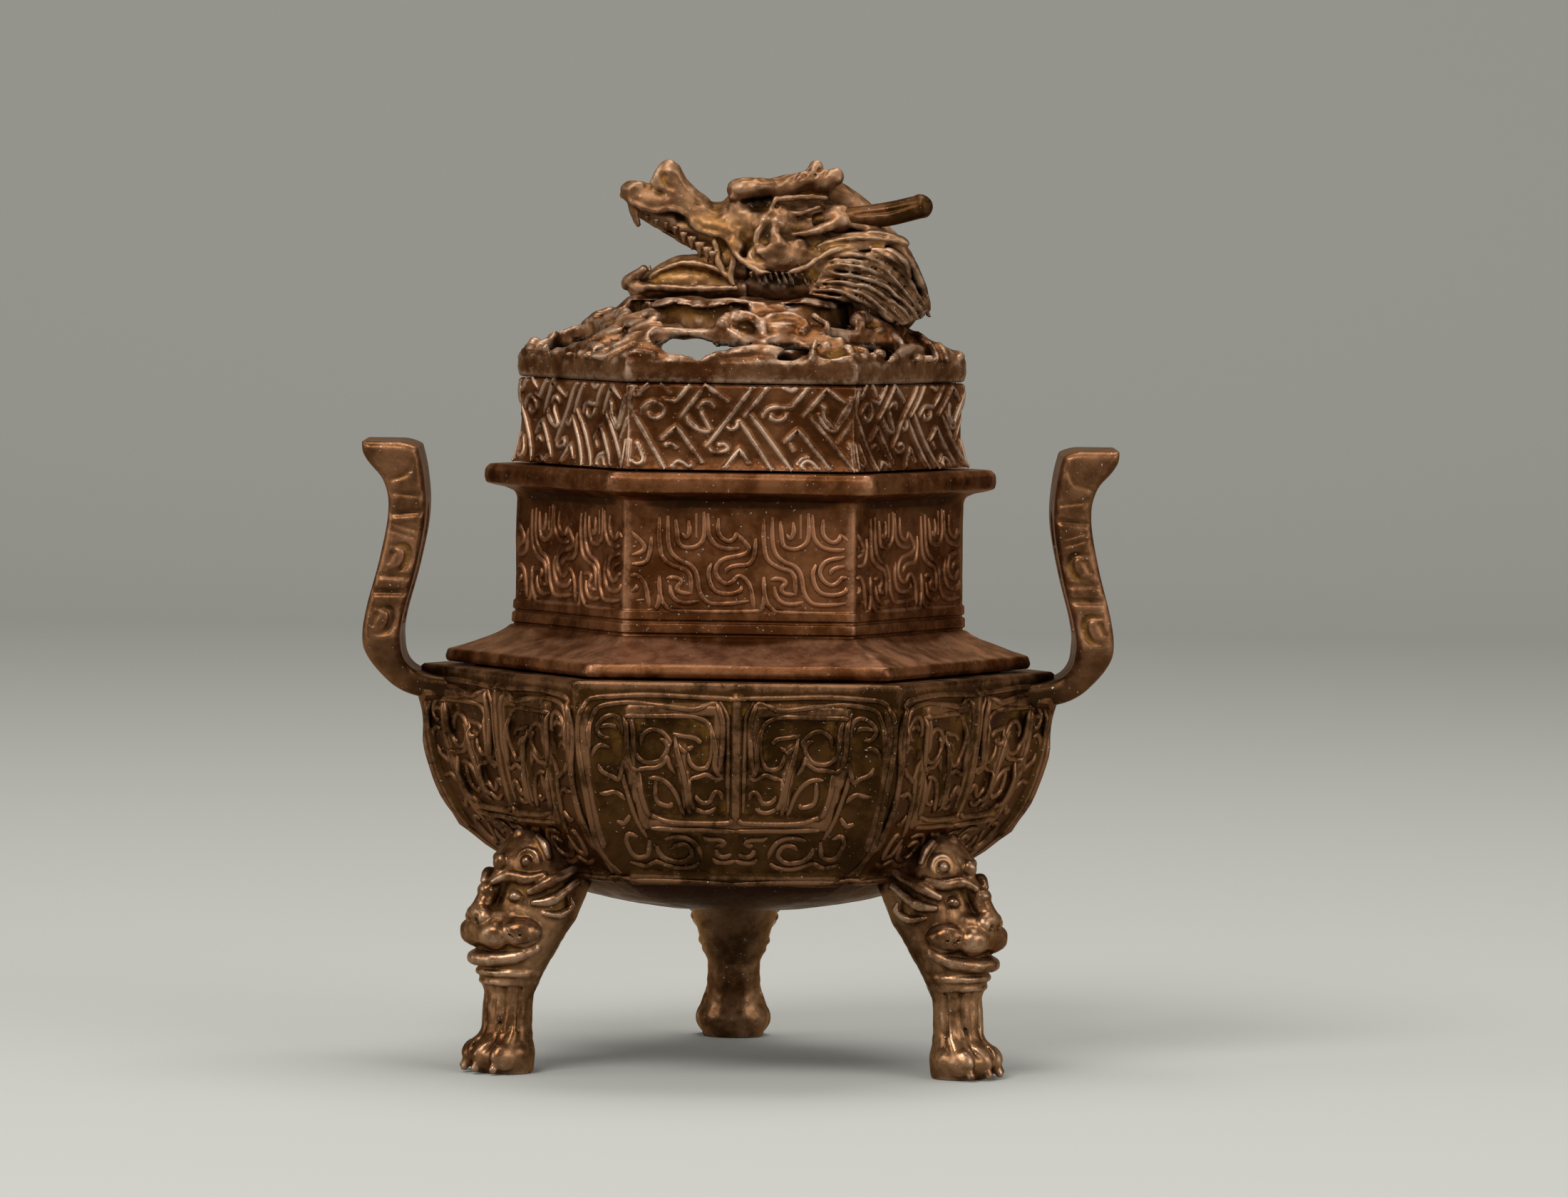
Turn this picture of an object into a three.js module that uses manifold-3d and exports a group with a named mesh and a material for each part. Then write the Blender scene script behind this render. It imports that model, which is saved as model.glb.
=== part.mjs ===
// A six-sided bronze incense burner on three lion-mask legs, in millimetres, +Z up.
// From the floor up: legs and bowl with two loop handles, a collar with a flared skirt and
// a projecting ledge, a gallery, and a pierced lid that carries a dragon's head.
// The collar, the gallery and the lid are loose and lift straight up, one off the other.
import * as THREE from "three";
import { mergeVertices } from "three/addons/utils/BufferGeometryUtils.js";
import Module from "manifold-3d";

const wasm = await Module();
wasm.setup();

// Driving dimensions
const SIDES = 6; // faces of the bowl, collar, gallery and lid
const GAP = 0.3; // clearance between pieces that meet
const WALL = 2.2; // thickness of the collar, gallery and lid

const UNDERSIDE_HEIGHT = 19.5; // floor to the bowl's underside
const BOWL_HEIGHT = 30.5; // underside to rim
const BOWL_RADIUS = 40; // axis to a corner of the rim
const BOWL_WALL = 2.4;
const BOWL_TAPER = 0.046; // share of the radius lost from the rim to the underside
const BOWL_DROP_POWER = 3.4; // how late the side turns in towards the underside
const BOWL_ROUND_POWER = 2.2; // how full the turn is
const BOWL_ROUND_FROM = 20; // below this depth the six sides melt into a round underside
const RIM_WIDTH = 6.5; // edge of the rim to the opening in it, at a corner
const RIM_THICKNESS = 1.8;
const RELIEF_HEIGHT = 0.55; // how far the mask's main bands stand out of the bowl's faces
const RELIEF_WIDTH = 1.3; // width of such a band

const SKIRT_RADIUS = 37;
const SKIRT_EDGE = 1.7;
const SKIRT_RISE = 3.1; // edge of the skirt to the foot of the collar's wall
const SKIRT_FILLET = 2.0;
const COLLAR_RADIUS = 28.2;
const COLLAR_HEIGHT = 25.1; // skirt to the top of the ledge
const LEDGE_RADIUS = 32.3;
const LEDGE_THICKNESS = 3.1;
const LEDGE_FILLET = 1.2;
const LIP_DEPTH = 3; // locating lips under the collar, gallery and lid
const LIP_WALL = 1.8;

const GALLERY_RADIUS = 28.2;
const GALLERY_WAIST = 0.5; // how far the gallery's wall draws in at mid height
const GALLERY_FLARE = 0.7; // how far it spreads onto the ledge
const GALLERY_HEIGHT = 10.6;

const LID_RADIUS = 28.4;
const LID_RIM_HEIGHT = 3.2;
const DOME_RISE = 6.7; // rim to the top plate
const PLATE_RADIUS = 14.6;
const PLATE_THICKNESS = 1.4;
const HOLE_RADIUS = 21; // axis to the middle of the smoke holes
const BIG_HOLE = { width: 9.2, depth: 5.8, turn: -14 }; // turn from the middle of a face, degrees
const SMALL_HOLE = { width: 5.2, depth: 4.6, turn: 13 };
const SLOT_COUNT = 5; // openings below the top plate
const SLOT_BAR = 16; // degrees of wall left between two slots
const SLOT_BAR_TURN = 283; // azimuth of one such bar, degrees
const SLOT_HEIGHT = 2.2;

const LEG_AZIMUTHS = { front_left: 210, front_right: 330, rear: 90 };
const LEG_INSET = 2; // middle of a leg, inwards of the bowl's face
const SHANK_HALF_DEPTH = 3.2; // radial
const SHANK_HALF_WIDTH = 3.65; // sideways
const PAW_HALF_DEPTH = 4.3;
const PAW_HALF_WIDTH = 5.2;
const PAW_HEIGHT = 5.2;
const PAW_FORWARD = 1.7; // the paw reaches this far out of the shank
const KNEE_HALF_WIDTH = 6;
const KNEE_HALF_DEPTH = 5.4;
const KNEE_BELOW_UNDERSIDE = 1.6;
const LEG_PIN_HEIGHT = 6.9; // above the bowl's underside
const LEG_PIN = { radius: 1.5, headRadius: 2.4, headHeight: 1.4, grip: 4.5 };

const HANDLE_WIDTH = 20; // across the loop
const HANDLE_POST = 5; // each of the loop's two uprights
const HANDLE_THICKNESS = 4.7;
const HANDLE_FLARE = 2.2; // extra thickness of the lip at the top
const HANDLE_RISE = 27.9; // rim to the middle of the top
const HANDLE_REACH = 4.7; // rim corner to the outermost bend
const HANDLE_LEAN = 1.7; // rim corner to the waist of the S
const WINDOW_SILL = 5; // rim to the bottom of the loop's opening
const WINDOW_CROWN = 20.5; // rim to the top of it
const HANDLE_PIN = { radius: 0.8, headRadius: 1.4, headHeight: 1, grip: 3 };
const HANDLE_PIN_SPREAD = 5; // each pin, sideways of the corner

const HEAD_FRONT = -15.7; // snout, from the axis
const HEAD_LENGTH = 39.3; // snout to the tips of the mane
const HEAD_WIDTH = 16;
const HEAD_HEIGHT = 17.4; // top plate to crest
const JAW_HINGE = 0.5; // back of the lower jaw, from the axis towards the nape
const HORN_LENGTH = 14.2;
const HORN_RADIUS = 1.45;
const HORN_SOCKET = 3; // depth of a horn's root in the skull
const HEAD_PIN = { radius: 1.6, headRadius: 2.6, headHeight: 1.4, grip: 5 };
const HEAD_PIN_FORWARD = 5; // from the axis towards the nape
const WASHER_RADIUS = 3.6;
const WASHER_THICKNESS = 0.9;

// Levels and radii worked out from the sizes above
const FACE_ANGLE = (2 * Math.PI) / SIDES;
const FACE_SHARE = Math.cos(FACE_ANGLE / 2); // middle of a face against a corner
const rimLevel = UNDERSIDE_HEIGHT + BOWL_HEIGHT;
const collarLevel = rimLevel + GAP;
const galleryLevel = collarLevel + COLLAR_HEIGHT + GAP;
const lidLevel = galleryLevel + GALLERY_HEIGHT + GAP;
const lidRimLevel = lidLevel + LID_RIM_HEIGHT;
const plateLevel = lidRimLevel + DOME_RISE;
const headLevel = plateLevel + GAP;
const collarBore = COLLAR_RADIUS - WALL;
const galleryBore = GALLERY_RADIUS - GALLERY_WAIST - WALL;
const mouthRadius = BOWL_RADIUS - RIM_WIDTH;
const legRadius = BOWL_RADIUS * FACE_SHARE - LEG_INSET;
const kneeLevel = UNDERSIDE_HEIGHT - KNEE_BELOW_UNDERSIDE;
const toeReach = legRadius + PAW_FORWARD + PAW_HALF_DEPTH;

const bronze = (color, roughness) => new THREE.MeshStandardMaterial({ color, roughness, metalness: 0.85 });
const bowlBronze = bronze(0x3a2a18, 0.45);
const collarBronze = bronze(0x4a2717, 0.5);
const lidBronze = bronze(0x4d3020, 0.5);
const pinBronze = bronze(0x5a3a24, 0.4);

// Solids

// A solid from points and triangles.
function solidFrom(points, faces) {
  const vertProperties = new Float32Array(points.flatMap((p) => [p.x, p.y, p.z]));
  return new wasm.Manifold(
    new wasm.Mesh({ numProp: 3, vertProperties, triVerts: new Uint32Array(faces) }),
  );
}

// A solid from a closed three.js geometry, without the triangles that collapse at an axis or a pole.
function solidOf(geometry) {
  const bare = new THREE.BufferGeometry();
  bare.setAttribute("position", geometry.getAttribute("position"));
  if (geometry.index) bare.setIndex(geometry.index);
  const merged = mergeVertices(bare, 1e-4);
  const corners = merged.index.array;
  const faces = [];
  for (let i = 0; i < corners.length; i += 3) {
    const [a, b, c] = [corners[i], corners[i + 1], corners[i + 2]];
    if (a !== b && b !== c && c !== a) faces.push(a, b, c);
  }
  return new wasm.Manifold(
    new wasm.Mesh({
      numProp: 3,
      vertProperties: merged.attributes.position.array,
      triVerts: new Uint32Array(faces),
    }),
  );
}

// A named mesh from a solid.
function meshOf(name, solid, material) {
  const made = solid.getMesh();
  const geometry = new THREE.BufferGeometry();
  geometry.setAttribute("position", new THREE.BufferAttribute(made.vertProperties, made.numProp));
  geometry.setIndex(new THREE.BufferAttribute(made.triVerts, 1));
  geometry.computeVertexNormals();
  const mesh = new THREE.Mesh(geometry, material);
  mesh.name = name;
  return mesh;
}

const joined = (solids) => solids.reduce((all, one) => all.add(one));

// A skin through rings of equally many points. The ends are capped, or the last ring meets the first.
function loft(rings, closed = false) {
  const count = rings[0].length;
  const points = rings.flat();
  const faces = [];
  for (let r = 0; r < rings.length - (closed ? 0 : 1); r++) {
    const low = r * count;
    const high = ((r + 1) % rings.length) * count;
    for (let i = 0; i < count; i++) {
      const j = (i + 1) % count;
      faces.push(low + i, low + j, high + j, low + i, high + j, high + i);
    }
  }
  if (!closed) {
    const last = (rings.length - 1) * count;
    const middle = (ring) => ring.reduce((sum, p) => sum.add(p), new THREE.Vector3()).divideScalar(count);
    const bottom = points.push(middle(rings[0])) - 1;
    const top = points.push(middle(rings[rings.length - 1])) - 1;
    for (let i = 0; i < count; i++) {
      const j = (i + 1) % count;
      faces.push(bottom, j, i, top, last + i, last + j);
    }
  }
  return solidFrom(points, faces);
}

// A level ring with six sides at roundness 0 and a circle at roundness 1.
function ringAt([radius, z, roundness = 0], count) {
  const ring = [];
  for (let i = 0; i < count; i++) {
    const angle = (2 * Math.PI * i) / count;
    const fromFace = (angle % FACE_ANGLE) - FACE_ANGLE / 2;
    const reach = radius * THREE.MathUtils.lerp(FACE_SHARE / Math.cos(fromFace), 1, roundness);
    ring.push(new THREE.Vector3(reach * Math.cos(angle), reach * Math.sin(angle), z));
  }
  return ring;
}

// An upright ellipse, centred on the leg's own x axis at the given distance.
function ellipseAt(x, z, halfX, halfY, count) {
  const ring = [];
  for (let i = 0; i < count; i++) {
    const angle = (2 * Math.PI * i) / count;
    ring.push(new THREE.Vector3(x + halfX * Math.cos(angle), halfY * Math.sin(angle), z));
  }
  return ring;
}

function ellipsoid([x, y, z], [halfX, halfY, halfZ], around = 12, along = 8) {
  const ball = new THREE.SphereGeometry(1, around, along);
  return solidOf(ball.scale(halfX, halfY, halfZ).translate(x, y, z));
}

// A tapering tube through the points, with a radius for each.
function tube(points, radii, sides = 8) {
  const curve = new THREE.CatmullRomCurve3(points.map((p) => new THREE.Vector3(...p)));
  const steps = 2 * (points.length - 1);
  const frames = curve.computeFrenetFrames(steps);
  const rings = [];
  for (let s = 0; s <= steps; s++) {
    const share = (s / steps) * (radii.length - 1);
    const from = Math.min(Math.floor(share), radii.length - 2);
    const radius = THREE.MathUtils.lerp(radii[from], radii[from + 1], share - from);
    const centre = curve.getPoint(s / steps);
    const ring = [];
    for (let i = 0; i < sides; i++) {
      const angle = (2 * Math.PI * i) / sides;
      const out = frames.normals[s].clone().multiplyScalar(radius * Math.cos(angle));
      out.addScaledVector(frames.binormals[s], radius * Math.sin(angle));
      ring.push(centre.clone().add(out));
    }
    rings.push(ring);
  }
  return loft(rings);
}

// A box between two corners.
function block([x0, y0, z0], [x1, y1, z1]) {
  const box = new THREE.BoxGeometry(x1 - x0, y1 - y0, z1 - z0);
  return solidOf(box.translate((x0 + x1) / 2, (y0 + y1) / 2, (z0 + z1) / 2));
}

// A round body about +Z from a profile that starts and ends on the axis.
function turned(profile, segments = 12) {
  const points = profile.map(([r, z]) => new THREE.Vector2(r, z));
  return new THREE.LatheGeometry(points, segments).rotateX(Math.PI / 2);
}

// A rivet along +Z: its shank starts inside the piece it holds and its head closes on a wall.
function rivetProfile(pin, shank) {
  const cone = 0.15 * pin.headRadius; // the head's underside clears a hollow wall
  return turned([
    [0, -pin.grip],
    [pin.radius, -pin.grip],
    [pin.radius, shank],
    [pin.headRadius, shank + cone],
    [0.8 * pin.headRadius, shank + pin.headHeight],
    [0, shank + pin.headHeight + cone],
  ]);
}

// The hole for a rivet, open at both ends of its shank.
function rivetHole(pin, shank) {
  const radius = pin.radius + GAP;
  const low = -pin.grip - GAP;
  return turned([[0, low], [radius, low], [radius, shank + pin.headHeight], [0, shank + pin.headHeight]]);
}

// Bowl

// Corner radius of the bowl's outside at a depth below the rim.
function bowlRadius(depth) {
  const drop = Math.pow(Math.min(depth / BOWL_HEIGHT, 1), BOWL_DROP_POWER);
  return BOWL_RADIUS * (1 - (BOWL_TAPER * depth) / BOWL_HEIGHT) * Math.pow(1 - drop, 1 / BOWL_ROUND_POWER);
}

const bowlRoundness = (depth) => THREE.MathUtils.smoothstep(depth, BOWL_ROUND_FROM, BOWL_HEIGHT);

// The bowl's outward slope in a plane through the axis, as a unit [radial, upward] pair.
function bowlNormal(depth, share) {
  const step = 0.05;
  const change = (share * (bowlRadius(depth - step) - bowlRadius(depth + step))) / (2 * step);
  const length = Math.hypot(1, change);
  return [1 / length, -change / length];
}

const BOWL_DEPTH_SHARES = [0, 0.131, 0.262, 0.393, 0.508, 0.607, 0.689, 0.77, 0.836, 0.895, 0.944, 0.977];
const BOWL_DEPTHS = BOWL_DEPTH_SHARES.map((share) => share * BOWL_HEIGHT);
const BOWL_POINTS = 4 * SIDES;

// The outside of the bowl as a full body, grown by a clearance.
function bowlEnvelope(grown) {
  const rings = BOWL_DEPTHS.map((d) => {
    return ringAt([bowlRadius(d) + grown, rimLevel - d, bowlRoundness(d)], BOWL_POINTS);
  });
  const deepest = BOWL_DEPTHS[BOWL_DEPTHS.length - 1];
  const under = ringAt([bowlRadius(deepest) / 2, UNDERSIDE_HEIGHT - grown, 1], BOWL_POINTS);
  const above = ringAt([BOWL_RADIUS + grown, rimLevel + grown], BOWL_POINTS);
  return loft([under, ...rings.reverse(), above]);
}

function bowlSolid() {
  const outside = BOWL_DEPTHS.map((d) => [bowlRadius(d), rimLevel - d, bowlRoundness(d)]).reverse();
  const deepest = BOWL_DEPTHS[BOWL_DEPTHS.length - 1];
  const underside = [bowlRadius(deepest) / 2, UNDERSIDE_HEIGHT, 1];
  const mouth = [
    [mouthRadius, rimLevel],
    [mouthRadius, rimLevel - RIM_THICKNESS],
  ];
  const inside = BOWL_DEPTHS.filter((d) => d > RIM_THICKNESS).map((d) => {
    const [out, up] = bowlNormal(d, 1);
    const z = Math.min(rimLevel - d - BOWL_WALL * up, rimLevel - RIM_THICKNESS);
    return [bowlRadius(d) - BOWL_WALL * out, z, bowlRoundness(d)];
  });
  const roof = [inside[0][0], rimLevel - RIM_THICKNESS];
  const floor = [underside[0], UNDERSIDE_HEIGHT + BOWL_WALL, 1];
  const profile = [underside, ...outside, ...mouth, roof, ...inside, floor];
  return loft(profile.map((p) => ringAt(p, BOWL_POINTS)));
}

// Rivets through the bowl's wall. Each place turns +Z of the rivet inwards, against the wall's slope.
function rivetPlace(depth, normal, azimuth, along) {
  const [out, up] = normal;
  const face = bowlRadius(depth) * FACE_SHARE;
  const inward = new THREE.Vector3(-out, 0, -up);
  const turn = new THREE.Quaternion().setFromUnitVectors(new THREE.Vector3(0, 0, 1), inward);
  const place = new THREE.Matrix4().compose(
    new THREE.Vector3(face, along, rimLevel - depth),
    turn,
    new THREE.Vector3(1, 1, 1),
  );
  return place.premultiply(new THREE.Matrix4().makeRotationZ(THREE.MathUtils.degToRad(azimuth)));
}

const legPinDepth = BOWL_HEIGHT - LEG_PIN_HEIGHT;
const legPinNormal = bowlNormal(legPinDepth, FACE_SHARE);
const legPinPlace = (azimuth) => rivetPlace(legPinDepth, legPinNormal, azimuth, 0);
const legPinShank = BOWL_WALL + GAP;

const handlePinDepth = RIM_THICKNESS + GAP + HANDLE_PIN.headRadius;
const handlePinAlong = BOWL_RADIUS * Math.sin(FACE_ANGLE / 2) - HANDLE_PIN_SPREAD / FACE_SHARE;
const HANDLE_SIDES = { left: 180, right: 0 };
const PIN_ENDS = { front: -1, rear: 1 };

// The faces on the two sides of a corner lie half a face away from it.
function handlePinPlace(azimuth, end) {
  const face = azimuth + (end * 180) / SIDES;
  return rivetPlace(handlePinDepth, bowlNormal(handlePinDepth, FACE_SHARE), face, -end * handlePinAlong);
}
const handlePinShank = BOWL_WALL + GAP;
const pinEnd = (side, end) => (side === "left" ? -PIN_ENDS[end] : PIN_ENDS[end]);

// The main bands of the mask on the right half of a face, from point to point: across from the middle and
// down from the rim, as shares of half the face's width and of the bowl's height.
const RELIEF_BANDS = [
  [[0.115, 0.345], [0.115, 0.113], [0.655, 0.113], [0.655, 0.33], [0.545, 0.577]], // square frame
  [[0, 0.577], [0.545, 0.577]], // foot of the frame
  [[0.345, 0.27], [0.29, 0.5]], // stem inside the frame
  [[0.94, 0.12], [0.92, 0.4], [0.82, 0.66]], // border along the corner
  [[0, 0.81], [0.62, 0.81]], // border along the underside
];
const RELIEF_RIDGE = [[0, 0.07], [0, 0.577]]; // down the middle

// One stretch of a band as a bar through the wall of the face that looks along +X.
function reliefBar([from, to], side) {
  const spot = ([across, down]) =>
    new THREE.Vector2((side * across * BOWL_RADIUS) / 2, rimLevel - down * BOWL_HEIGHT);
  const [a, b] = [spot(from), spot(to)];
  const reach = b.clone().sub(a).setLength(RELIEF_WIDTH / 2);
  const aside = new THREE.Vector2(-reach.y, reach.x);
  const corners = [
    a.clone().sub(reach).sub(aside),
    b.clone().add(reach).sub(aside),
    b.clone().add(reach).add(aside),
    a.clone().sub(reach).add(aside),
  ];
  const shape = new THREE.Shape(corners);
  const bar = new THREE.ExtrudeGeometry(shape, { depth: BOWL_RADIUS, bevelEnabled: false });
  return solidOf(bar.rotateX(Math.PI / 2).rotateZ(Math.PI / 2).translate(BOWL_RADIUS / 4, 0, 0));
}

// The mask's bands on all faces, left out under the legs and the handles.
function bowlRelief() {
  const bars = [reliefBar(RELIEF_RIDGE, 1)];
  for (const band of RELIEF_BANDS) {
    for (let i = 1; i < band.length; i++) {
      for (const side of [-1, 1]) bars.push(reliefBar([band[i - 1], band[i]], side));
    }
  }
  const skin = bowlEnvelope(RELIEF_HEIGHT).subtract(bowlEnvelope(-RIM_THICKNESS / 3));
  const onFace = skin.rotate([0, 0, 180 / SIDES]).intersect(joined(bars));
  const faces = [];
  for (let k = 0; k < SIDES; k++) faces.push(onFace.rotate([0, 0, (360 / SIDES) * (k + 0.5)]));
  const far = 2 * BOWL_RADIUS;
  const legHalf = 1.2 * KNEE_HALF_WIDTH;
  const underLeg = block([0, -legHalf, 0], [far, legHalf, kneeLevel + 2.4 * KNEE_HALF_WIDTH]);
  const handleHalf = HANDLE_WIDTH / 2 + 2 * GAP;
  const handleFoot = rimLevel - handlePinDepth - HANDLE_THICKNESS / 2 - 2 * GAP;
  const underHandle = block([0, -handleHalf, handleFoot], [far, handleHalf, rimLevel]);
  const covered = [
    ...Object.values(LEG_AZIMUTHS).map((azimuth) => underLeg.rotate([0, 0, azimuth])),
    ...Object.values(HANDLE_SIDES).map((azimuth) => underHandle.rotate([0, 0, azimuth])),
  ];
  return joined(faces).subtract(joined(covered));
}

function drilledBowl() {
  const cuts = [];
  for (const azimuth of Object.values(LEG_AZIMUTHS)) {
    cuts.push(solidOf(rivetHole(LEG_PIN, legPinShank).applyMatrix4(legPinPlace(azimuth))));
  }
  for (const azimuth of Object.values(HANDLE_SIDES)) {
    for (const end of Object.values(PIN_ENDS)) {
      cuts.push(solidOf(rivetHole(HANDLE_PIN, handlePinShank).applyMatrix4(handlePinPlace(azimuth, end))));
    }
  }
  return bowlSolid().add(bowlRelief()).subtract(joined(cuts));
}

// Legs, along +X of their own group: x is the distance from the axis, y sideways

const LEG_POINTS = 12;
const legRing = (x, z, depth, width) => ellipseAt(x, z, depth, width, LEG_POINTS);

function legBody() {
  const k = KNEE_HALF_WIDTH;
  const shankLow = 1.29 * PAW_HEIGHT;
  const shankHigh = kneeLevel - 0.917 * k;
  const paw = legRadius + PAW_FORWARD;
  return loft([
    legRing(paw, 0, 0.88 * PAW_HALF_DEPTH, 0.9 * PAW_HALF_WIDTH),
    legRing(paw, 0.25 * PAW_HEIGHT, PAW_HALF_DEPTH, PAW_HALF_WIDTH),
    legRing(paw, 0.6 * PAW_HEIGHT, 0.98 * PAW_HALF_DEPTH, 0.98 * PAW_HALF_WIDTH),
    legRing(paw - 0.5 * PAW_FORWARD, PAW_HEIGHT, 0.88 * PAW_HALF_DEPTH, 0.84 * PAW_HALF_WIDTH),
    legRing(legRadius, shankLow, 1.05 * SHANK_HALF_DEPTH, 1.05 * SHANK_HALF_WIDTH),
    legRing(legRadius, shankHigh - 0.25 * k, SHANK_HALF_DEPTH, SHANK_HALF_WIDTH),
    legRing(legRadius - 0.033 * k, shankHigh + 0.167 * k, 1.18 * SHANK_HALF_DEPTH, 1.25 * SHANK_HALF_WIDTH),
    legRing(legRadius - 0.133 * k, kneeLevel - 0.25 * k, 0.94 * KNEE_HALF_DEPTH, 0.86 * k),
    legRing(legRadius - 0.267 * k, kneeLevel + 0.25 * k, 1.12 * KNEE_HALF_DEPTH, 0.97 * k),
    legRing(legRadius - 0.6 * k, kneeLevel + 0.75 * k, 1.4 * KNEE_HALF_DEPTH, k),
    legRing(legRadius - 0.867 * k, kneeLevel + 1.333 * k, 1.4 * KNEE_HALF_DEPTH, 0.92 * k),
    legRing(legRadius - 1.25 * k, kneeLevel + 1.867 * k, 1.3 * KNEE_HALF_DEPTH, 0.7 * k),
    legRing(legRadius - 1.417 * k, kneeLevel + 2.233 * k, KNEE_HALF_DEPTH, 0.34 * k),
  ]);
}

// The lion's face: [out, sideways, up] from the knee and half sizes, as shares of the knee's half width.
const MASK_MIDDLE = [
  { at: [0.33, 0, 0.03], half: [0.62, 0.57, 0.38] }, // muzzle
  { at: [0.73, 0, 0.2], half: [0.22, 0.33, 0.2] }, // nose
  { at: [0.17, 0, -0.53], half: [0.57, 0.6, 0.25] }, // chin
  { at: [0.15, 0, 1], half: [0.47, 0.22, 0.32] }, // frown
  { at: [-0.3, 0, 1.8], half: [0.42, 0.34, 0.47] }, // crown pearl
];
const MASK_SIDES = [
  { at: [0.23, 0.55, -0.1], half: [0.45, 0.4, 0.28] }, // whisker pad
  { at: [0.25, 0.45, 0.93], half: [0.37, 0.28, 0.28] }, // brow
  { at: [0.07, 0.32, 1.48], half: [0.32, 0.23, 0.25] }, // forehead curl
  { at: [-0.23, 0.87, 1.1], half: [0.43, 0.23, 0.25] }, // temple
  { at: [-0.43, 0.93, 0.5], half: [0.53, 0.22, 0.2] }, // ear
];

// Four toes spread over the front of the paw.
const TOE_TURNS = [-54, -18, 18, 54];
const TOE_HALF = [0.46 * PAW_HALF_DEPTH, 0.29 * PAW_HALF_WIDTH, 0.37 * PAW_HEIGHT];

function legSolid() {
  const knee = new THREE.Vector3(legRadius, 0, kneeLevel);
  const lump = ({ at, half }, side) => {
    const offset = new THREE.Vector3(at[0], side * at[1], at[2]).multiplyScalar(KNEE_HALF_WIDTH);
    return ellipsoid(offset.add(knee).toArray(), half.map((share) => share * KNEE_HALF_WIDTH), 8, 4);
  };
  const lumps = MASK_MIDDLE.map((part) => lump(part, 1));
  for (const part of MASK_SIDES) lumps.push(lump(part, -1), lump(part, 1));
  const toes = TOE_TURNS.map((turn) => {
    const angle = THREE.MathUtils.degToRad(turn);
    const x = toeReach - TOE_HALF[0] - (1 - Math.cos(angle)) * (PAW_HALF_DEPTH - TOE_HALF[0]);
    const y = Math.sin(angle) * (PAW_HALF_WIDTH - 0.8 * TOE_HALF[1]);
    return ellipsoid([x, y, 0.32 * PAW_HEIGHT], TOE_HALF, 7, 4);
  });
  const beneath = block([0, -2 * PAW_HALF_WIDTH, -2 * PAW_HEIGHT], [2 * toeReach, 2 * PAW_HALF_WIDTH, 0]);
  const bore = solidOf(rivetHole(LEG_PIN, legPinShank).applyMatrix4(legPinPlace(0)));
  return joined([legBody(), ...lumps, ...toes])
    .subtract(beneath)
    .subtract(bowlEnvelope(GAP).rotate([0, 0, 180 / SIDES]))
    .subtract(bore);
}

// Handles, on the +X corner before they are turned to their side

// Middle line of the bar's S, from inside the rim to the top.
function handleCurve() {
  const out = (share) => BOWL_RADIUS + HANDLE_REACH * share;
  const waist = BOWL_RADIUS + HANDLE_LEAN;
  const root = rimLevel - handlePinDepth;
  return new THREE.CatmullRomCurve3(
    [
      [out(-1.4), root],
      [out(0.05), root + 0.3],
      [out(0.7), rimLevel - 1.1],
      [out(1), rimLevel + 0.1 * HANDLE_RISE],
      [out(0.92), rimLevel + 0.25 * HANDLE_RISE],
      [waist + 1.1, rimLevel + 0.46 * HANDLE_RISE],
      [waist, rimLevel + 0.68 * HANDLE_RISE],
      [waist + 0.3, rimLevel + 0.86 * HANDLE_RISE],
      [waist + 1.25, rimLevel + HANDLE_RISE],
    ].map(([x, z]) => new THREE.Vector3(x, 0, z)),
  );
}

function handleOutline() {
  const curve = handleCurve();
  const steps = 20;
  const outer = [];
  const inner = [];
  for (let s = 0; s <= steps; s++) {
    const share = s / steps;
    const middle = curve.getPoint(share);
    const ahead = curve.getTangent(share);
    const flare = HANDLE_FLARE * Math.pow(THREE.MathUtils.smoothstep(share, 0.78, 1.02), 1.4);
    const half = HANDLE_THICKNESS / 2;
    outer.push([middle.x + ahead.z * (half + flare), middle.z - ahead.x * (half + flare)]);
    inner.push([middle.x - ahead.z * half, middle.z + ahead.x * half]);
  }
  return [...outer, ...inner.reverse()];
}

function handleSolid() {
  const shape = new THREE.Shape(handleOutline().map(([x, z]) => new THREE.Vector2(x, z)));
  const slab = new THREE.ExtrudeGeometry(shape, { depth: HANDLE_WIDTH, bevelEnabled: false });
  slab.translate(0, 0, -HANDLE_WIDTH / 2).rotateX(Math.PI / 2);
  const half = HANDLE_WIDTH / 2 - HANDLE_POST;
  const opening = new THREE.Shape();
  opening.moveTo(-half, rimLevel + WINDOW_SILL);
  opening.lineTo(half, rimLevel + WINDOW_SILL);
  opening.lineTo(half, rimLevel + WINDOW_CROWN - half);
  opening.absarc(0, rimLevel + WINDOW_CROWN - half, half, 0, Math.PI);
  const through = { depth: BOWL_RADIUS, bevelEnabled: false, curveSegments: 8 };
  const window = new THREE.ExtrudeGeometry(opening, through);
  window.rotateX(Math.PI / 2).rotateZ(Math.PI / 2).translate(BOWL_RADIUS / 2, 0, 0);
  const bores = Object.values(PIN_ENDS).map((end) =>
    solidOf(rivetHole(HANDLE_PIN, handlePinShank).applyMatrix4(handlePinPlace(0, end))),
  );
  return solidOf(slab).subtract(solidOf(window)).subtract(bowlEnvelope(GAP)).subtract(joined(bores));
}

// Collar, gallery and lid

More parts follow.
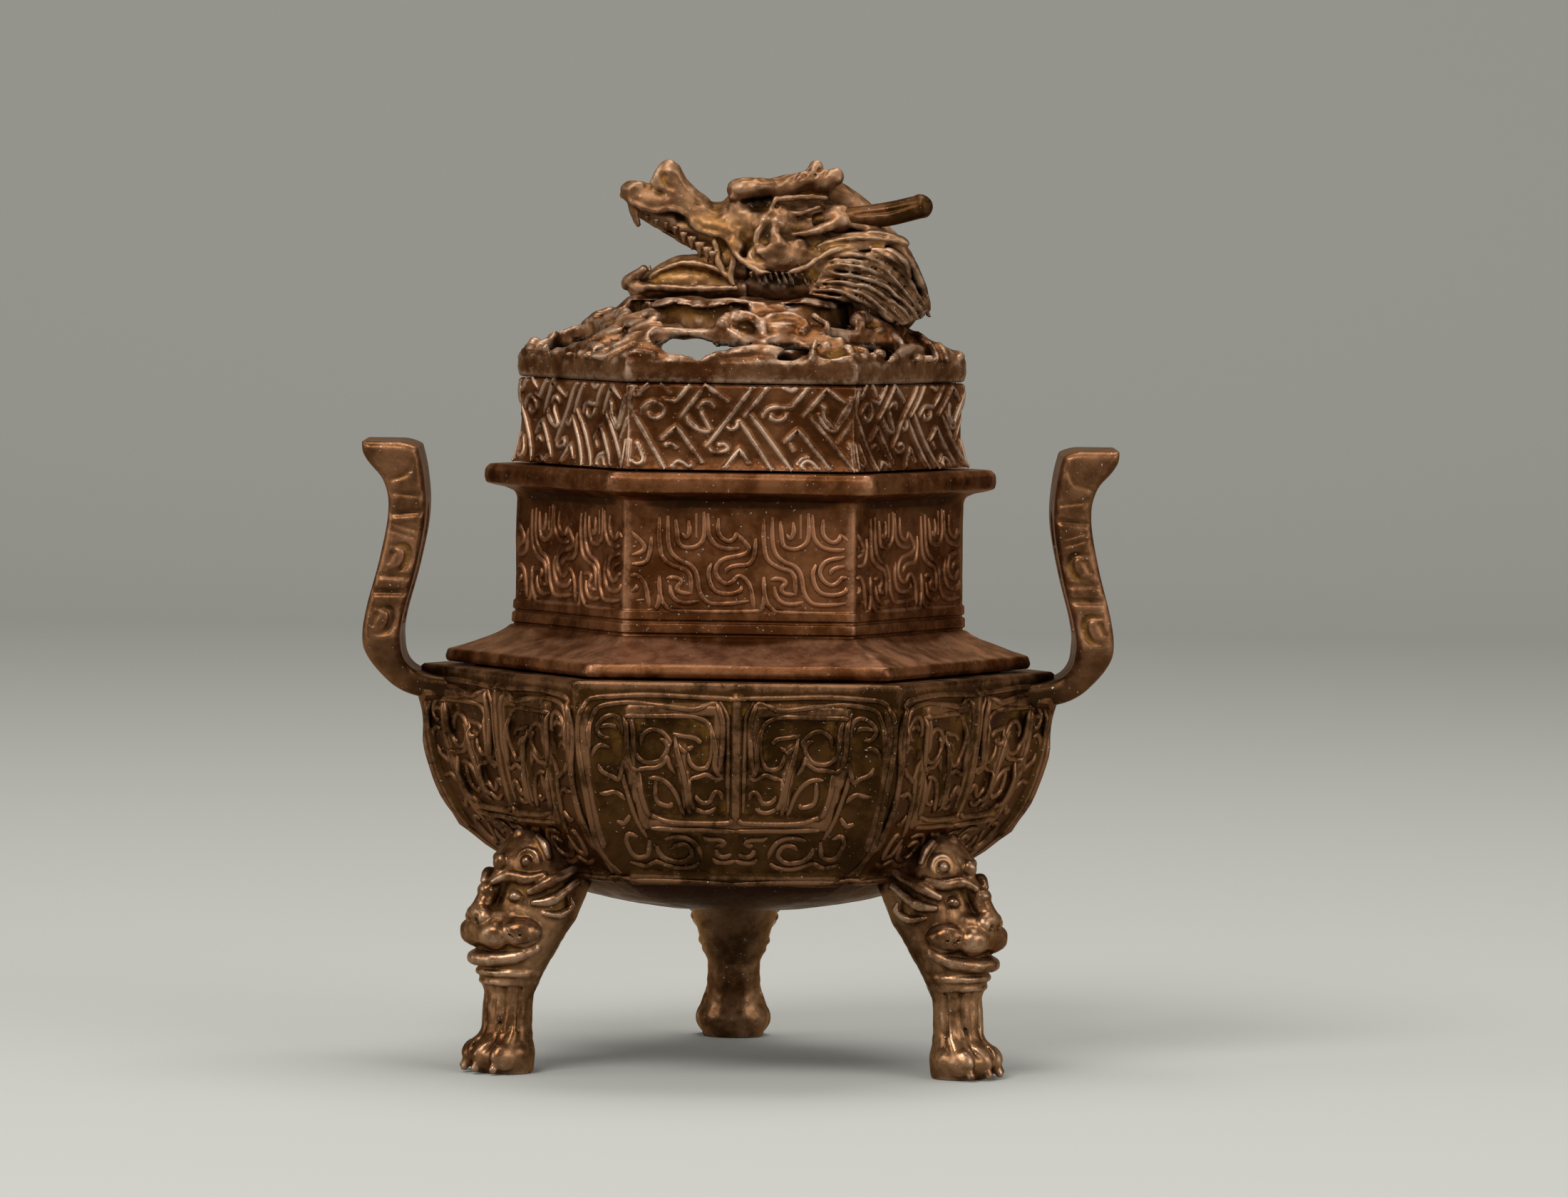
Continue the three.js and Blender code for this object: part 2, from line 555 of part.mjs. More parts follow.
function collarSolid() {
  const top = collarLevel + COLLAR_HEIGHT;
  const ledge = top - LEDGE_THICKNESS;
  const edge = collarLevel + SKIRT_EDGE;
  const foot = edge + SKIRT_RISE;
  const lip = mouthRadius - GAP;
  const profile = [
    [lip, collarLevel],
    [SKIRT_RADIUS - 0.3, collarLevel],
    [SKIRT_RADIUS, collarLevel + 0.35 * SKIRT_EDGE],
    [SKIRT_RADIUS - 0.4, edge],
    [COLLAR_RADIUS + 2 * SKIRT_FILLET, foot - 0.35 * SKIRT_RISE],
    [COLLAR_RADIUS + SKIRT_FILLET, foot],
    [COLLAR_RADIUS + 0.3 * SKIRT_FILLET, foot + 0.6 * SKIRT_FILLET],
    [COLLAR_RADIUS, foot + 1.4 * SKIRT_FILLET],
    [COLLAR_RADIUS, ledge - LEDGE_FILLET],
    [COLLAR_RADIUS + 0.6 * LEDGE_FILLET, ledge],
    [LEDGE_RADIUS - 0.6, ledge],
    [LEDGE_RADIUS, ledge + 0.35 * LEDGE_THICKNESS],
    [LEDGE_RADIUS, ledge + 0.65 * LEDGE_THICKNESS],
    [LEDGE_RADIUS - 0.5, top],
    [collarBore, top],
    [collarBore, foot + SKIRT_FILLET],
    [lip - LIP_WALL, edge],
    [lip - LIP_WALL, collarLevel - LIP_DEPTH],
    [lip, collarLevel - LIP_DEPTH],
  ];
  return loft(profile.map((p) => ringAt(p, SIDES)), true);
}

function gallerySolid() {
  const top = galleryLevel + GALLERY_HEIGHT;
  const lip = collarBore - GAP;
  const waist = GALLERY_RADIUS - GALLERY_WAIST;
  const profile = [
    [lip, galleryLevel],
    [GALLERY_RADIUS + GALLERY_FLARE, galleryLevel],
    [GALLERY_RADIUS, galleryLevel + 0.15 * GALLERY_HEIGHT],
    [waist, galleryLevel + 0.42 * GALLERY_HEIGHT],
    [waist, galleryLevel + 0.62 * GALLERY_HEIGHT],
    [GALLERY_RADIUS, top],
    [galleryBore, top],
    [galleryBore, galleryLevel + WALL],
    [lip - LIP_WALL, galleryLevel],
    [lip - LIP_WALL, galleryLevel - LIP_DEPTH],
    [lip, galleryLevel - LIP_DEPTH],
  ];
  return loft(profile.map((p) => ringAt(p, SIDES)), true);
}

// Dome of the lid from the rim to the plate: share of the way in, share of the way up, roundness.
const DOME_STEPS = [
  [0.06, 0.1, 0],
  [0.24, 0.3, 0.15],
  [0.52, 0.5, 0.55],
  [0.78, 0.68, 0.9],
  [0.95, 0.84, 1],
];
const LID_POINTS = 4 * SIDES;

function lidShell() {
  const lip = galleryBore - GAP;
  const dome = DOME_STEPS.map(([inwards, upwards, roundness]) => [
    LID_RADIUS - inwards * (LID_RADIUS - PLATE_RADIUS),
    lidRimLevel + upwards * DOME_RISE,
    roundness,
  ]);
  const lining = dome.slice(1).map(([radius, z, roundness]) => [radius - 0.3 * WALL, z - WALL, roundness]);
  const profile = [
    [0.8 * (PLATE_RADIUS - WALL), plateLevel - PLATE_THICKNESS, 1],
    [PLATE_RADIUS - WALL, plateLevel - PLATE_THICKNESS - 0.2, 1],
    ...lining.reverse(),
    [LID_RADIUS - WALL, lidRimLevel - 0.4],
    [LID_RADIUS - WALL, lidLevel + LIP_WALL],
    [lip - LIP_WALL, lidLevel + 0.5 * LIP_WALL],
    [lip - LIP_WALL, lidLevel - LIP_DEPTH],
    [lip, lidLevel - LIP_DEPTH],
    [lip, lidLevel],
    [LID_RADIUS - 0.2, lidLevel],
    [LID_RADIUS, lidLevel + 0.3 * LID_RIM_HEIGHT],
    [LID_RADIUS, lidRimLevel],
    ...dome,
    [PLATE_RADIUS, plateLevel - 0.5 * PLATE_THICKNESS, 1],
    [PLATE_RADIUS - 0.3, plateLevel, 1],
  ];
  return loft(profile.map((p) => ringAt(p, LID_POINTS)));
}

// An upright oval cutter through the dome, wider along the face than across it.
function smokeHole(hole, face) {
  const oval = new THREE.Shape().absellipse(0, 0, hole.depth / 2, hole.width / 2, 0, 2 * Math.PI);
  const through = { depth: 2 * DOME_RISE, bevelEnabled: false, curveSegments: 5 };
  const cutter = new THREE.ExtrudeGeometry(oval, through);
  cutter.translate(HOLE_RADIUS, 0, lidRimLevel - WALL);
  return solidOf(cutter.rotateZ((face + 0.5) * FACE_ANGLE + THREE.MathUtils.degToRad(hole.turn)));
}

// A slot through the steep part of the dome, below the plate.
function plateSlot(index) {
  const pitch = 360 / SLOT_COUNT;
  const from = THREE.MathUtils.degToRad(SLOT_BAR_TURN + index * pitch + SLOT_BAR / 2);
  const to = from + THREE.MathUtils.degToRad(pitch - SLOT_BAR);
  const sector = new THREE.Shape();
  sector.absarc(0, 0, 1.4 * PLATE_RADIUS, from, to, false);
  sector.absarc(0, 0, 0.75 * PLATE_RADIUS, to, from, true);
  const through = { depth: SLOT_HEIGHT, bevelEnabled: false, curveSegments: 6 };
  const cutter = new THREE.ExtrudeGeometry(sector, through);
  return solidOf(cutter.translate(0, 0, plateLevel - PLATE_THICKNESS - SLOT_HEIGHT));
}

const headPinShank = PLATE_THICKNESS + WASHER_THICKNESS + 2 * GAP;

// The head's rivet points down, with its head under the plate and its washer.
function headPinPlace(geometry) {
  return geometry.rotateX(Math.PI).translate(HEAD_PIN_FORWARD, 0, plateLevel);
}

function lidSolid() {
  const cuts = [solidOf(headPinPlace(rivetHole(HEAD_PIN, headPinShank)))];
  for (let face = 0; face < SIDES; face++) {
    cuts.push(smokeHole(BIG_HOLE, face), smokeHole(SMALL_HOLE, face));
  }
  for (let i = 0; i < SLOT_COUNT; i++) cuts.push(plateSlot(i));
  return lidShell().subtract(joined(cuts));
}

function washerGeometry() {
  const bore = HEAD_PIN.radius + GAP;
  const top = plateLevel - PLATE_THICKNESS - GAP;
  const ring = new THREE.LatheGeometry(
    [
      [bore, top],
      [bore, top - WASHER_THICKNESS],
      [WASHER_RADIUS, top - WASHER_THICKNESS],
      [WASHER_RADIUS, top],
      [bore, top],
    ].map(([r, z]) => new THREE.Vector2(r, z)),
    16,
  );
  return ring.rotateX(Math.PI / 2).translate(HEAD_PIN_FORWARD, 0, 0);
}

// Dragon's head, looking along -X. Places are shares of its length from the snout, of its half width
// from the middle and of its height from the plate.

const headX = (share) => HEAD_FRONT + HEAD_LENGTH * share;
const headY = (share) => (HEAD_WIDTH / 2) * share;
const headZ = (share) => headLevel + HEAD_HEIGHT * share;
const headPoint = ([x, y, z]) => [headX(x), headY(y), headZ(z)];
const headLump = ({ at, half }, side = 1) =>
  ellipsoid(
    headPoint([at[0], side * at[1], at[2]]),
    [HEAD_LENGTH * half[0], (HEAD_WIDTH / 2) * half[1], HEAD_HEIGHT * half[2]],
    8,
    5,
  );

// Sections across the head: [along, half width, bottom, top].
const UPPER_JAW = [
  [0, 0.22, 0.7, 0.78],
  [0.02, 0.36, 0.665, 0.805],
  [0.07, 0.46, 0.61, 0.805],
  [0.15, 0.5, 0.56, 0.765],
  [0.25, 0.56, 0.47, 0.7],
  [0.34, 0.66, 0.37, 0.7],
  [0.42, 0.8, 0.28, 0.8],
  [0.52, 0.8, 0.28, 0.8],
];
const SKULL_AND_MANE = [
  [0.4, 0.76, 0, 0.76],
  [0.52, 0.96, 0, 0.86],
  [0.64, 1, 0, 0.87],
  [0.72, 1.02, 0, 0.78],
  [0.8, 1.05, 0, 0.6],
  [0.9, 1, 0, 0.46],
  [0.96, 0.85, 0, 0.27],
  [1, 0.6, 0, 0.12],
];
const LOWER_JAW = [
  [0.022, 0.3, 0, 0.15],
  [0.04, 0.42, 0, 0.19],
  [0.09, 0.5, 0, 0.155],
  [0.2, 0.6, 0, 0.2],
  [0.33, 0.7, 0, 0.23],
  [0.5, 0.74, 0, 0.25],
];
const MOUTH_CORNER = 0.27; // height of the gap between the jaws at its back
const TONGUE = { at: [0.2, 0, 0.22], half: [0.11, 0.3, 0.055] };
const FACE_LUMPS = [
  { at: [0.46, 0.5, 0.84], half: [0.08, 0.28, 0.06] }, // brow
  { at: [0.628, 0.4, 0.93], half: [0.035, 0.16, 0.07] }, // brow knob
  { at: [0.695, 0.34, 0.85], half: [0.032, 0.14, 0.07] }, // crest knob
  { at: [0.53, 0.9, 0.42], half: [0.09, 0.28, 0.15] }, // cheek
  { at: [0.81, 0.98, 0.46], half: [0.08, 0.2, 0.1] }, // ear
];
const NOSTRIL = [
  [0.285, 0.2, 0.66],
  [0.21, 0.25, 0.8],
  [0.155, 0.3, 0.95],
];
const NOSTRIL_RADII = [0.03, 0.03, 0.024];
const FANG = { at: [0.06, 0.38, 0.6], length: 0.16, radius: 0.022 };

// Locks of the mane: root, bend and tip of each, mirrored to both sides.
const LOCKS = [
  [[0.6, 0.88, 0.44], [0.78, 0.9, 0.42], [0.97, 0.72, 0.19]],
  [[0.58, 0.9, 0.25], [0.78, 1.0, 0.25], [0.985, 0.66, 0.06]],
  [[0.56, 0.88, 0.1], [0.75, 0.98, 0.1], [0.93, 0.88, 0.07]],
];
const LOCK_RADII = [0.03, 0.036, 0.015];

// One section, flat below and rounded above.
const SECTION = [[0.9, -1], [1, -0.2], [0.9, 0.6], [0.5, 1], [-0.5, 1], [-0.9, 0.6], [-1, -0.2], [-0.9, -1]];
function crossSection([along, half, bottom, top]) {
  const middle = (bottom + top) / 2;
  const tall = (top - bottom) / 2;
  return SECTION.map(([y, z]) => new THREE.Vector3(...headPoint([along, y * half, middle + z * tall])));
}
const headLoft = (sections) => loft(sections.map(crossSection));

const HORN_ROOT = [0.71, 0.62, 0.575];
const HORN_LEAN = [1, 0.12, 0.17];

// A horn leans back from its socket; grown, and longer at the root, it is the cutter for that socket.
function hornTube(side, grown) {
  const root = new THREE.Vector3(...headPoint([HORN_ROOT[0], side * HORN_ROOT[1], HORN_ROOT[2]]));
  const lean = new THREE.Vector3(HORN_LEAN[0], side * HORN_LEAN[1], HORN_LEAN[2]).normalize();
  const at = (along, lift) => {
    return root.clone().addScaledVector(lean, along).add(new THREE.Vector3(0, 0, lift)).toArray();
  };
  const points = [
    at(-HORN_SOCKET - grown, 0),
    at(0.35 * HORN_LENGTH, -0.3),
    at(HORN_LENGTH - HORN_SOCKET, 0.3),
  ];
  return tube(points, [1, 0.97, 0.92].map((share) => share * HORN_RADIUS + grown), 8);
}

function headSolid() {
  const scaledTube = (path, radii, side) =>
    tube(
      path.map(([x, y, z]) => headPoint([x, side * y, z])),
      radii.map((r) => r * HEAD_LENGTH),
      6,
    );
  const pieces = [headLoft(UPPER_JAW), headLoft(SKULL_AND_MANE)];
  for (const side of [-1, 1]) {
    pieces.push(...FACE_LUMPS.map((lump) => headLump(lump, side)));
    pieces.push(scaledTube(NOSTRIL, NOSTRIL_RADII, side));
    pieces.push(...LOCKS.map((lock) => scaledTube(lock, LOCK_RADII, side)));
    const [x, y, z] = headPoint([FANG.at[0], side * FANG.at[1], FANG.at[2]]);
    const fang = new THREE.ConeGeometry(FANG.radius * HEAD_LENGTH, FANG.length * HEAD_HEIGHT, 6);
    pieces.push(solidOf(fang.rotateX(-Math.PI / 2).translate(x, y, z)));
  }
  const mouth = block([-HEAD_LENGTH, -HEAD_WIDTH, 0], [JAW_HINGE + GAP, HEAD_WIDTH, headZ(MOUTH_CORNER)]);
  const bore = solidOf(headPinPlace(rivetHole(HEAD_PIN, headPinShank)));
  return joined(pieces).subtract(joined([mouth, hornTube(-1, GAP), hornTube(1, GAP), bore]));
}

// The lower jaw ends flat against the throat, with the tongue lying on it.
function jawSolid() {
  const behind = block([JAW_HINGE, -HEAD_WIDTH, 0], [HEAD_LENGTH, HEAD_WIDTH, 2 * plateLevel]);
  return headLoft(LOWER_JAW).add(headLump(TONGUE)).subtract(behind);
}

// Assembly

const censer = new THREE.Group();
censer.position.y = (BOWL_RADIUS * FACE_SHARE - toeReach) / 2; // centres the footprint on the origin

censer.add(meshOf("bowl", drilledBowl(), bowlBronze));
const leg = legSolid();
for (const [place, azimuth] of Object.entries(LEG_AZIMUTHS)) {
  const post = new THREE.Group();
  post.rotation.z = THREE.MathUtils.degToRad(azimuth);
  post.add(meshOf("leg_" + place, leg, bowlBronze));
  const pin = rivetProfile(LEG_PIN, legPinShank).applyMatrix4(legPinPlace(0));
  post.add(meshOf("leg_rivet_" + place, solidOf(pin), pinBronze));
  censer.add(post);
}
const handle = handleSolid();
for (const [side, azimuth] of Object.entries(HANDLE_SIDES)) {
  const corner = new THREE.Group();
  corner.rotation.z = THREE.MathUtils.degToRad(azimuth);
  corner.add(meshOf("handle_" + side, handle, bowlBronze));
  for (const end of Object.keys(PIN_ENDS)) {
    const pin = rivetProfile(HANDLE_PIN, handlePinShank).applyMatrix4(handlePinPlace(0, pinEnd(side, end)));
    corner.add(meshOf("handle_rivet_" + side + "_" + end, solidOf(pin), pinBronze));
  }
  censer.add(corner);
}
censer.add(meshOf("collar", collarSolid(), collarBronze));
censer.add(meshOf("gallery", gallerySolid(), collarBronze));

const lid = new THREE.Group();
lid.add(meshOf("lid_cap", lidSolid(), lidBronze));
lid.add(meshOf("dragon_head", headSolid(), lidBronze));
lid.add(meshOf("dragon_jaw", jawSolid(), lidBronze));
lid.add(meshOf("dragon_horn_front", hornTube(-1, 0), lidBronze));
lid.add(meshOf("dragon_horn_rear", hornTube(1, 0), lidBronze));
lid.add(meshOf("head_rivet", solidOf(headPinPlace(rivetProfile(HEAD_PIN, headPinShank))), pinBronze));
lid.add(meshOf("head_rivet_washer", solidOf(washerGeometry()), pinBronze));
censer.add(lid);

export default censer;
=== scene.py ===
"""A six-sided bronze incense burner on three lion-mask legs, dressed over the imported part."""

import math

import bpy
import numpy as np
from mathutils import Matrix, Vector


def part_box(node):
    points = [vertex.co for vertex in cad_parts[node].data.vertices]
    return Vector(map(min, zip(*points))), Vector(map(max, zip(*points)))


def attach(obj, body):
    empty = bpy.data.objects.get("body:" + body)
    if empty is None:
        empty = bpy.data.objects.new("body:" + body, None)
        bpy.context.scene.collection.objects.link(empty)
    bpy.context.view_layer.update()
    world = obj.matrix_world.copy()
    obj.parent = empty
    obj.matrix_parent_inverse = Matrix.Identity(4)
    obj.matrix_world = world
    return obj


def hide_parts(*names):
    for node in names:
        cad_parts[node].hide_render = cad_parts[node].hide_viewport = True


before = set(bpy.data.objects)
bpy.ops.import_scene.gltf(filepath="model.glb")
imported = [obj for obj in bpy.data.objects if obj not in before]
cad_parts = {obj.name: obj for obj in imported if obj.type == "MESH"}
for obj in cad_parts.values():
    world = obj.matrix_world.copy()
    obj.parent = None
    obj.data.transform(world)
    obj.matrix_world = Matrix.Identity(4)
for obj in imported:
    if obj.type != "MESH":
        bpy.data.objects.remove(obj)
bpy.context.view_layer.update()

bl_info = {
    "name": "Bronze Incense Burner",
    "version": (1, 0, 0),
    "blender": (4, 5, 0),
    "location": "View3D > Sidebar > Burner",
    "description": "Builds the relief, legs, handles, pierced lid and dragon of a bronze incense burner",
    "category": "Add Mesh",
}

MM = 0.001
SIDES = 6


def node_box(name):
    """Lowest and highest corner of a CAD node in millimetres."""
    return [np.array(corner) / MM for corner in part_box(name)]


BOWL, COLLAR, GALLERY, LID, JAW = map(node_box, ("bowl", "collar", "gallery", "lid_cap", "dragon_jaw"))

# The axis of the stack, the gap between its loose pieces and the height where each starts, in millimetres
AXIS_Y = (COLLAR[0][1] + COLLAR[1][1]) / 2
CLEARANCE = 0.3
RIM_LEVEL = BOWL[1][2]
COLLAR_LEVEL = RIM_LEVEL + CLEARANCE
GALLERY_LEVEL = COLLAR[1][2] + CLEARANCE
LID_LEVEL = GALLERY[1][2] + CLEARANCE
PLATE_LEVEL = LID[1][2]

# Directions of the legs from the axis, in degrees
LEG_TURNS = {"leg_front_left": 210, "leg_front_right": 330, "leg_rear": 90}


# Curves and profiles


def smooth(points, per_span=6):
    """A curve through the points, as more points."""
    p = np.asarray(points, float)
    if len(p) < 3:
        return p
    ends = np.vstack([2 * p[0] - p[1], p, 2 * p[-1] - p[-2]])
    t = np.linspace(0, 1, per_span, endpoint=False)[:, None]
    spans = []
    for a, b, c, d in zip(ends, ends[1:], ends[2:], ends[3:]):
        bend = 2 * a - 5 * b + 4 * c - d
        twist = 3 * b - a - 3 * c + d
        spans.append(0.5 * (2 * b + (c - a) * t + bend * t**2 + twist * t**3))
    return np.vstack([*spans, p[-1:]])


def softened(points, radius, closed):
    """The corners of a profile, each rounded by a short arc of about that radius."""
    p = np.asarray(points, float)
    count = len(p)
    made = []
    for i in range(count):
        if not closed and i in (0, count - 1):
            made.append(p[i])
            continue
        before, here, after = p[i - 1], p[i], p[(i + 1) % count]
        into, out = here - before, after - here
        a, b = np.linalg.norm(into), np.linalg.norm(out)
        cut = min(radius, 0.45 * a, 0.45 * b)
        start, end = here - into / a * cut, here + out / b * cut
        for t in (0, 0.25, 0.5, 0.75, 1):
            made.append((1 - t) ** 2 * start + 2 * t * (1 - t) * here + t**2 * end)
    return np.array(made)


def resampled(points, step, closed):
    """Points along a profile no further apart than the step, which is a function of radius and height."""
    p = np.asarray(points, float)
    ends = np.vstack([p[1:], p[:1]]) if closed else p[1:]
    made = []
    for a, b in zip(p, ends):
        count = max(1, math.ceil(np.linalg.norm(b - a) / step(*(a + b) / 2)))
        made += [a + (b - a) * k / count for k in range(count)]
    if not closed:
        made.append(p[-1])
    return np.array(made)


def six_sided(turn, roundness):
    """Distance of a six-sided outline from its axis, against that of its corners.
    A corner lies at each 60 degrees."""
    off = np.mod(turn, math.pi / 3) - math.pi / 6
    flat = math.cos(math.pi / 6) / np.cos(off)
    return flat + (1 - flat) * roundness


def smoothstep(value, low, high):
    """A soft rise from 0 at the low value to 1 at the high one."""
    t = np.clip((value - low) / (high - low), 0, 1)
    return t * t * (3 - 2 * t)


def between(value, low, high, reach):
    """1 between two levels, with a soft fall to 0 over the reach inside each of them."""
    return smoothstep(value, low, low + reach) * smoothstep(-value, -high, reach - high)


# Meshes


def new_object(name, points, faces, edges=()):
    """An object at the origin from points in millimetres."""
    mesh = bpy.data.meshes.new(name)
    mesh.from_pydata(np.asarray(points, float) * MM, edges, faces)
    mesh.update()
    made = bpy.data.objects.new(name, mesh)
    bpy.context.scene.collection.objects.link(made)
    return made


def store(mesh, name, kind, values):
    """A named value for each point of a mesh."""
    layer = mesh.attributes.new(name, kind, "POINT")
    key = "vector" if kind == "FLOAT_VECTOR" else "value"
    layer.data.foreach_set(key, np.asarray(values, np.float32).ravel())


def baked(made):
    """The object as its modifiers leave it, with a plain mesh and no modifier."""
    depsgraph = bpy.context.evaluated_depsgraph_get()
    mesh = bpy.data.meshes.new_from_object(made.evaluated_get(depsgraph))
    made.modifiers.clear()
    made.data = mesh
    return made


def read(items, key, width, kind=float):
    """A value of each item of a mesh, such as the places of its points."""
    values = np.empty(len(items) * width, kind)
    items.foreach_get(key, values)
    return values.reshape(-1, width)


# Rounds of smoothing for fine edges and for broad hollows, and the millimetres at which each shows in full:
# edges as wear with a painted highlight, hollows as dirt with painted shade
FINE_ROUNDS = 8
BROAD_ROUNDS = 60
BRIGHT_HEIGHT = 0.09
DIRT_AND_SHADE_DEPTH = 0.4


def wear_and_painted_light(made):
    """Stores where handling wears a piece bright, partly as a painted highlight, and where dirt and painted
    shade darken its hollows.
    Both come from how far a point stands out of the smoothed piece."""
    mesh = made.data
    count = len(mesh.vertices)
    points = read(mesh.vertices, "co", 3)
    normals = read(mesh.vertices, "normal", 3)
    a, b = read(mesh.edges, "vertices", 2, int).T
    links = np.bincount(a, minlength=count) + np.bincount(b, minlength=count)
    links = np.maximum(links, 1)
    eased = points.copy()
    for turn in range(1, BROAD_ROUNDS + 1):
        total = np.empty_like(eased)
        for axis in range(3):
            column = eased[:, axis]
            total[:, axis] = np.bincount(a, column[b], count) + np.bincount(b, column[a], count)
        eased = 0.3 * eased + 0.7 * total / links[:, None]
        if turn == FINE_ROUNDS:
            fine = ((points - eased) * normals).sum(1) / MM
    broad = ((points - eased) * normals).sum(1) / MM
    store(mesh, "worn", "FLOAT", np.clip(fine / BRIGHT_HEIGHT, -1, 1))
    store(mesh, "sunk", "FLOAT", np.clip(-broad / DIRT_AND_SHADE_DEPTH, -1, 1))


def finish_piece(made, body, slot, material, *nodes, tone=None):
    """Gives a piece its wear, finish and body, and says which CAD nodes it stands for. Its slot is not
    used.
    Its wear comes with a painted highlight and painted shade; tone gives earth or painted light above 0 and
    soot or painted shade below 0, for points in millimetres from the axis."""
    made.data.shade_smooth()
    wear_and_painted_light(made)
    if tone:
        x, y, z = read(made.data.vertices, "co", 3).T / MM
        store(made.data, "tone", "FLOAT", tone(x, y - AXIS_Y, z))
    made.data.materials.clear()
    made.data.materials.append(material)
    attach(made, body)
    if nodes:
        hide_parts(*nodes)


# Node trees


def node(tree, kind, inputs=None, **settings):
    """A node with its settings, and with its inputs set to values or joined to other nodes' sockets."""
    made = tree.nodes.new(kind)
    for key, value in settings.items():
        setattr(made, key, value)
    for key, value in (inputs or {}).items():
        if isinstance(value, bpy.types.NodeSocket):
            tree.links.new(value, made.inputs[key])
        else:
            made.inputs[key].default_value = value
    return made


def maths(tree, operation, a, b):
    """Two numbers brought together by a Math node."""
    return node(tree, "ShaderNodeMath", {0: a, 1: b}, operation=operation).outputs[0]


def vector_maths(tree, operation, a, b):
    """Two vectors brought together by a Vector Math node."""
    return node(tree, "ShaderNodeVectorMath", {0: a, 1: b}, operation=operation).outputs[0]


def stored(tree, name, kind="FLOAT"):
    """A value that the mesh holds for each of its points."""
    return node(tree, "GeometryNodeInputNamedAttribute", {"Name": name}, data_type=kind).outputs[0]


def pushed(tree, geometry, way, reach):
    """The geometry, moved along a direction."""
    push = node(tree, "ShaderNodeVectorMath", {0: way, "Scale": reach}, operation="SCALE")
    move = {"Geometry": geometry, "Offset": push.outputs[0]}
    return node(tree, "GeometryNodeSetPosition", move).outputs[0]


def dressed(tree, given, result, geometry):
    """Gives the geometry its material and ends the tree."""
    dress = {"Geometry": geometry, "Material": given["Material"]}
    tree.links.new(node(tree, "GeometryNodeSetMaterial", dress).outputs[0], result[0])
    return tree


def geometry_tree(name, **sockets):
    """An empty Geometry Nodes tree with a named input for each of its sizes."""
    tree = bpy.data.node_groups.new(name, "GeometryNodeTree")
    tree.interface.new_socket("Geometry", in_out="INPUT", socket_type="NodeSocketGeometry")
    for label, kind in sockets.items():
        tree.interface.new_socket(label.replace("_", " "), in_out="INPUT", socket_type="NodeSocket" + kind)
    tree.interface.new_socket("Geometry", in_out="OUTPUT", socket_type="NodeSocketGeometry")
    return tree, tree.nodes.new("NodeGroupInput").outputs, tree.nodes.new("NodeGroupOutput").inputs


def grown_by(made, tree, values):
    """Runs a Geometry Nodes tree on an object and keeps the result as its mesh."""
    modifier = made.modifiers.new(tree.name, "NODES")
    modifier.node_group = tree
    for item in tree.interface.items_tree:
        if item.in_out == "INPUT" and item.name in values:
            modifier[item.identifier] = values[item.name]
    return baked(made)


# Points of neighbouring faces that lie nearer than this are sewn together, in millimetres
SEAM = 0.004
RELIEF_INPUTS = dict(
    Bands="Object",
    Raise="Float",
    Half_width="Float",
    Slope="Float",
    Unevenness="Float",
    Sides="Int",
    Axis="Vector",
    Material="Material",
)


def raised(tree, given):
    """Lifts the points of a face where the bands of its pattern run."""
    bands = node(tree, "GeometryNodeObjectInfo", {"Object": given["Bands"]})
    nearest = {0: bands.outputs["Geometry"], "Sample Position": stored(tree, "panel", "FLOAT_VECTOR")}
    gap = node(tree, "GeometryNodeProximity", nearest, target_element="EDGES").outputs["Distance"]
    foot = maths(tree, "ADD", given["Half width"], given["Slope"])
    slope = {"Value": gap, "From Min": given["Half width"], "From Max": foot, "To Min": 1.0, "To Max": 0.0}
    ridge = node(tree, "ShaderNodeMapRange", slope, interpolation_type="SMOOTHSTEP").outputs[0]
    height = maths(tree, "MULTIPLY", ridge, stored(tree, "relief"))
    height = maths(tree, "MULTIPLY", height, given["Raise"])
    return pushed(tree, given["Geometry"], stored(tree, "out", "FLOAT_VECTOR"), height)


def repeated(tree, given, face):
    """Repeats a face round the axis and sews it to its neighbours."""
    spots = node(tree, "GeometryNodeMeshLine", {"Count": given["Sides"], "Offset": (0.0, 0.0, 0.0)})
    number = node(tree, "GeometryNodeInputIndex").outputs[0]
    turn = maths(tree, "DIVIDE", math.tau, given["Sides"])
    spin = node(tree, "ShaderNodeCombineXYZ", {"Z": maths(tree, "MULTIPLY", number, turn)})
    around = {"Points": spots.outputs[0], "Instance": face, "Rotation": spin.outputs[0]}
    ring = node(tree, "GeometryNodeInstanceOnPoints", around)
    whole = node(tree, "GeometryNodeRealizeInstances", {"Geometry": ring.outputs[0]})
    seams = {"Geometry": whole.outputs[0], "Distance": SEAM * MM}
    sewn = node(tree, "GeometryNodeMergeByDistance", seams)
    place = {"Geometry": sewn.outputs[0], "Translation": given["Axis"]}
    return node(tree, "GeometryNodeTransform", place).outputs[0]


def cast(tree, given, result, geometry, way):
    """Lets a casting wander a little along a direction and gives it its material."""
    swells = {"Scale": 110.0, "Detail": 3.0, "W": 4.0}
    rough = node(tree, "ShaderNodeTexNoise", swells, noise_dimensions="4D").outputs[0]
    sway = maths(tree, "MULTIPLY", maths(tree, "SUBTRACT", rough, 0.5), given["Unevenness"])
    sway = maths(tree, "MULTIPLY", sway, stored(tree, "loose"))
    return dressed(tree, given, result, pushed(tree, geometry, way, sway))


def wall_tree():
    """Raises bands on one face of a wall and repeats the face round the axis."""
    tree, given, result = geometry_tree("Relief round six faces", **RELIEF_INPUTS)
    wall = repeated(tree, given, raised(tree, given))
    return cast(tree, given, result, wall, node(tree, "GeometryNodeInputNormal").outputs[0])


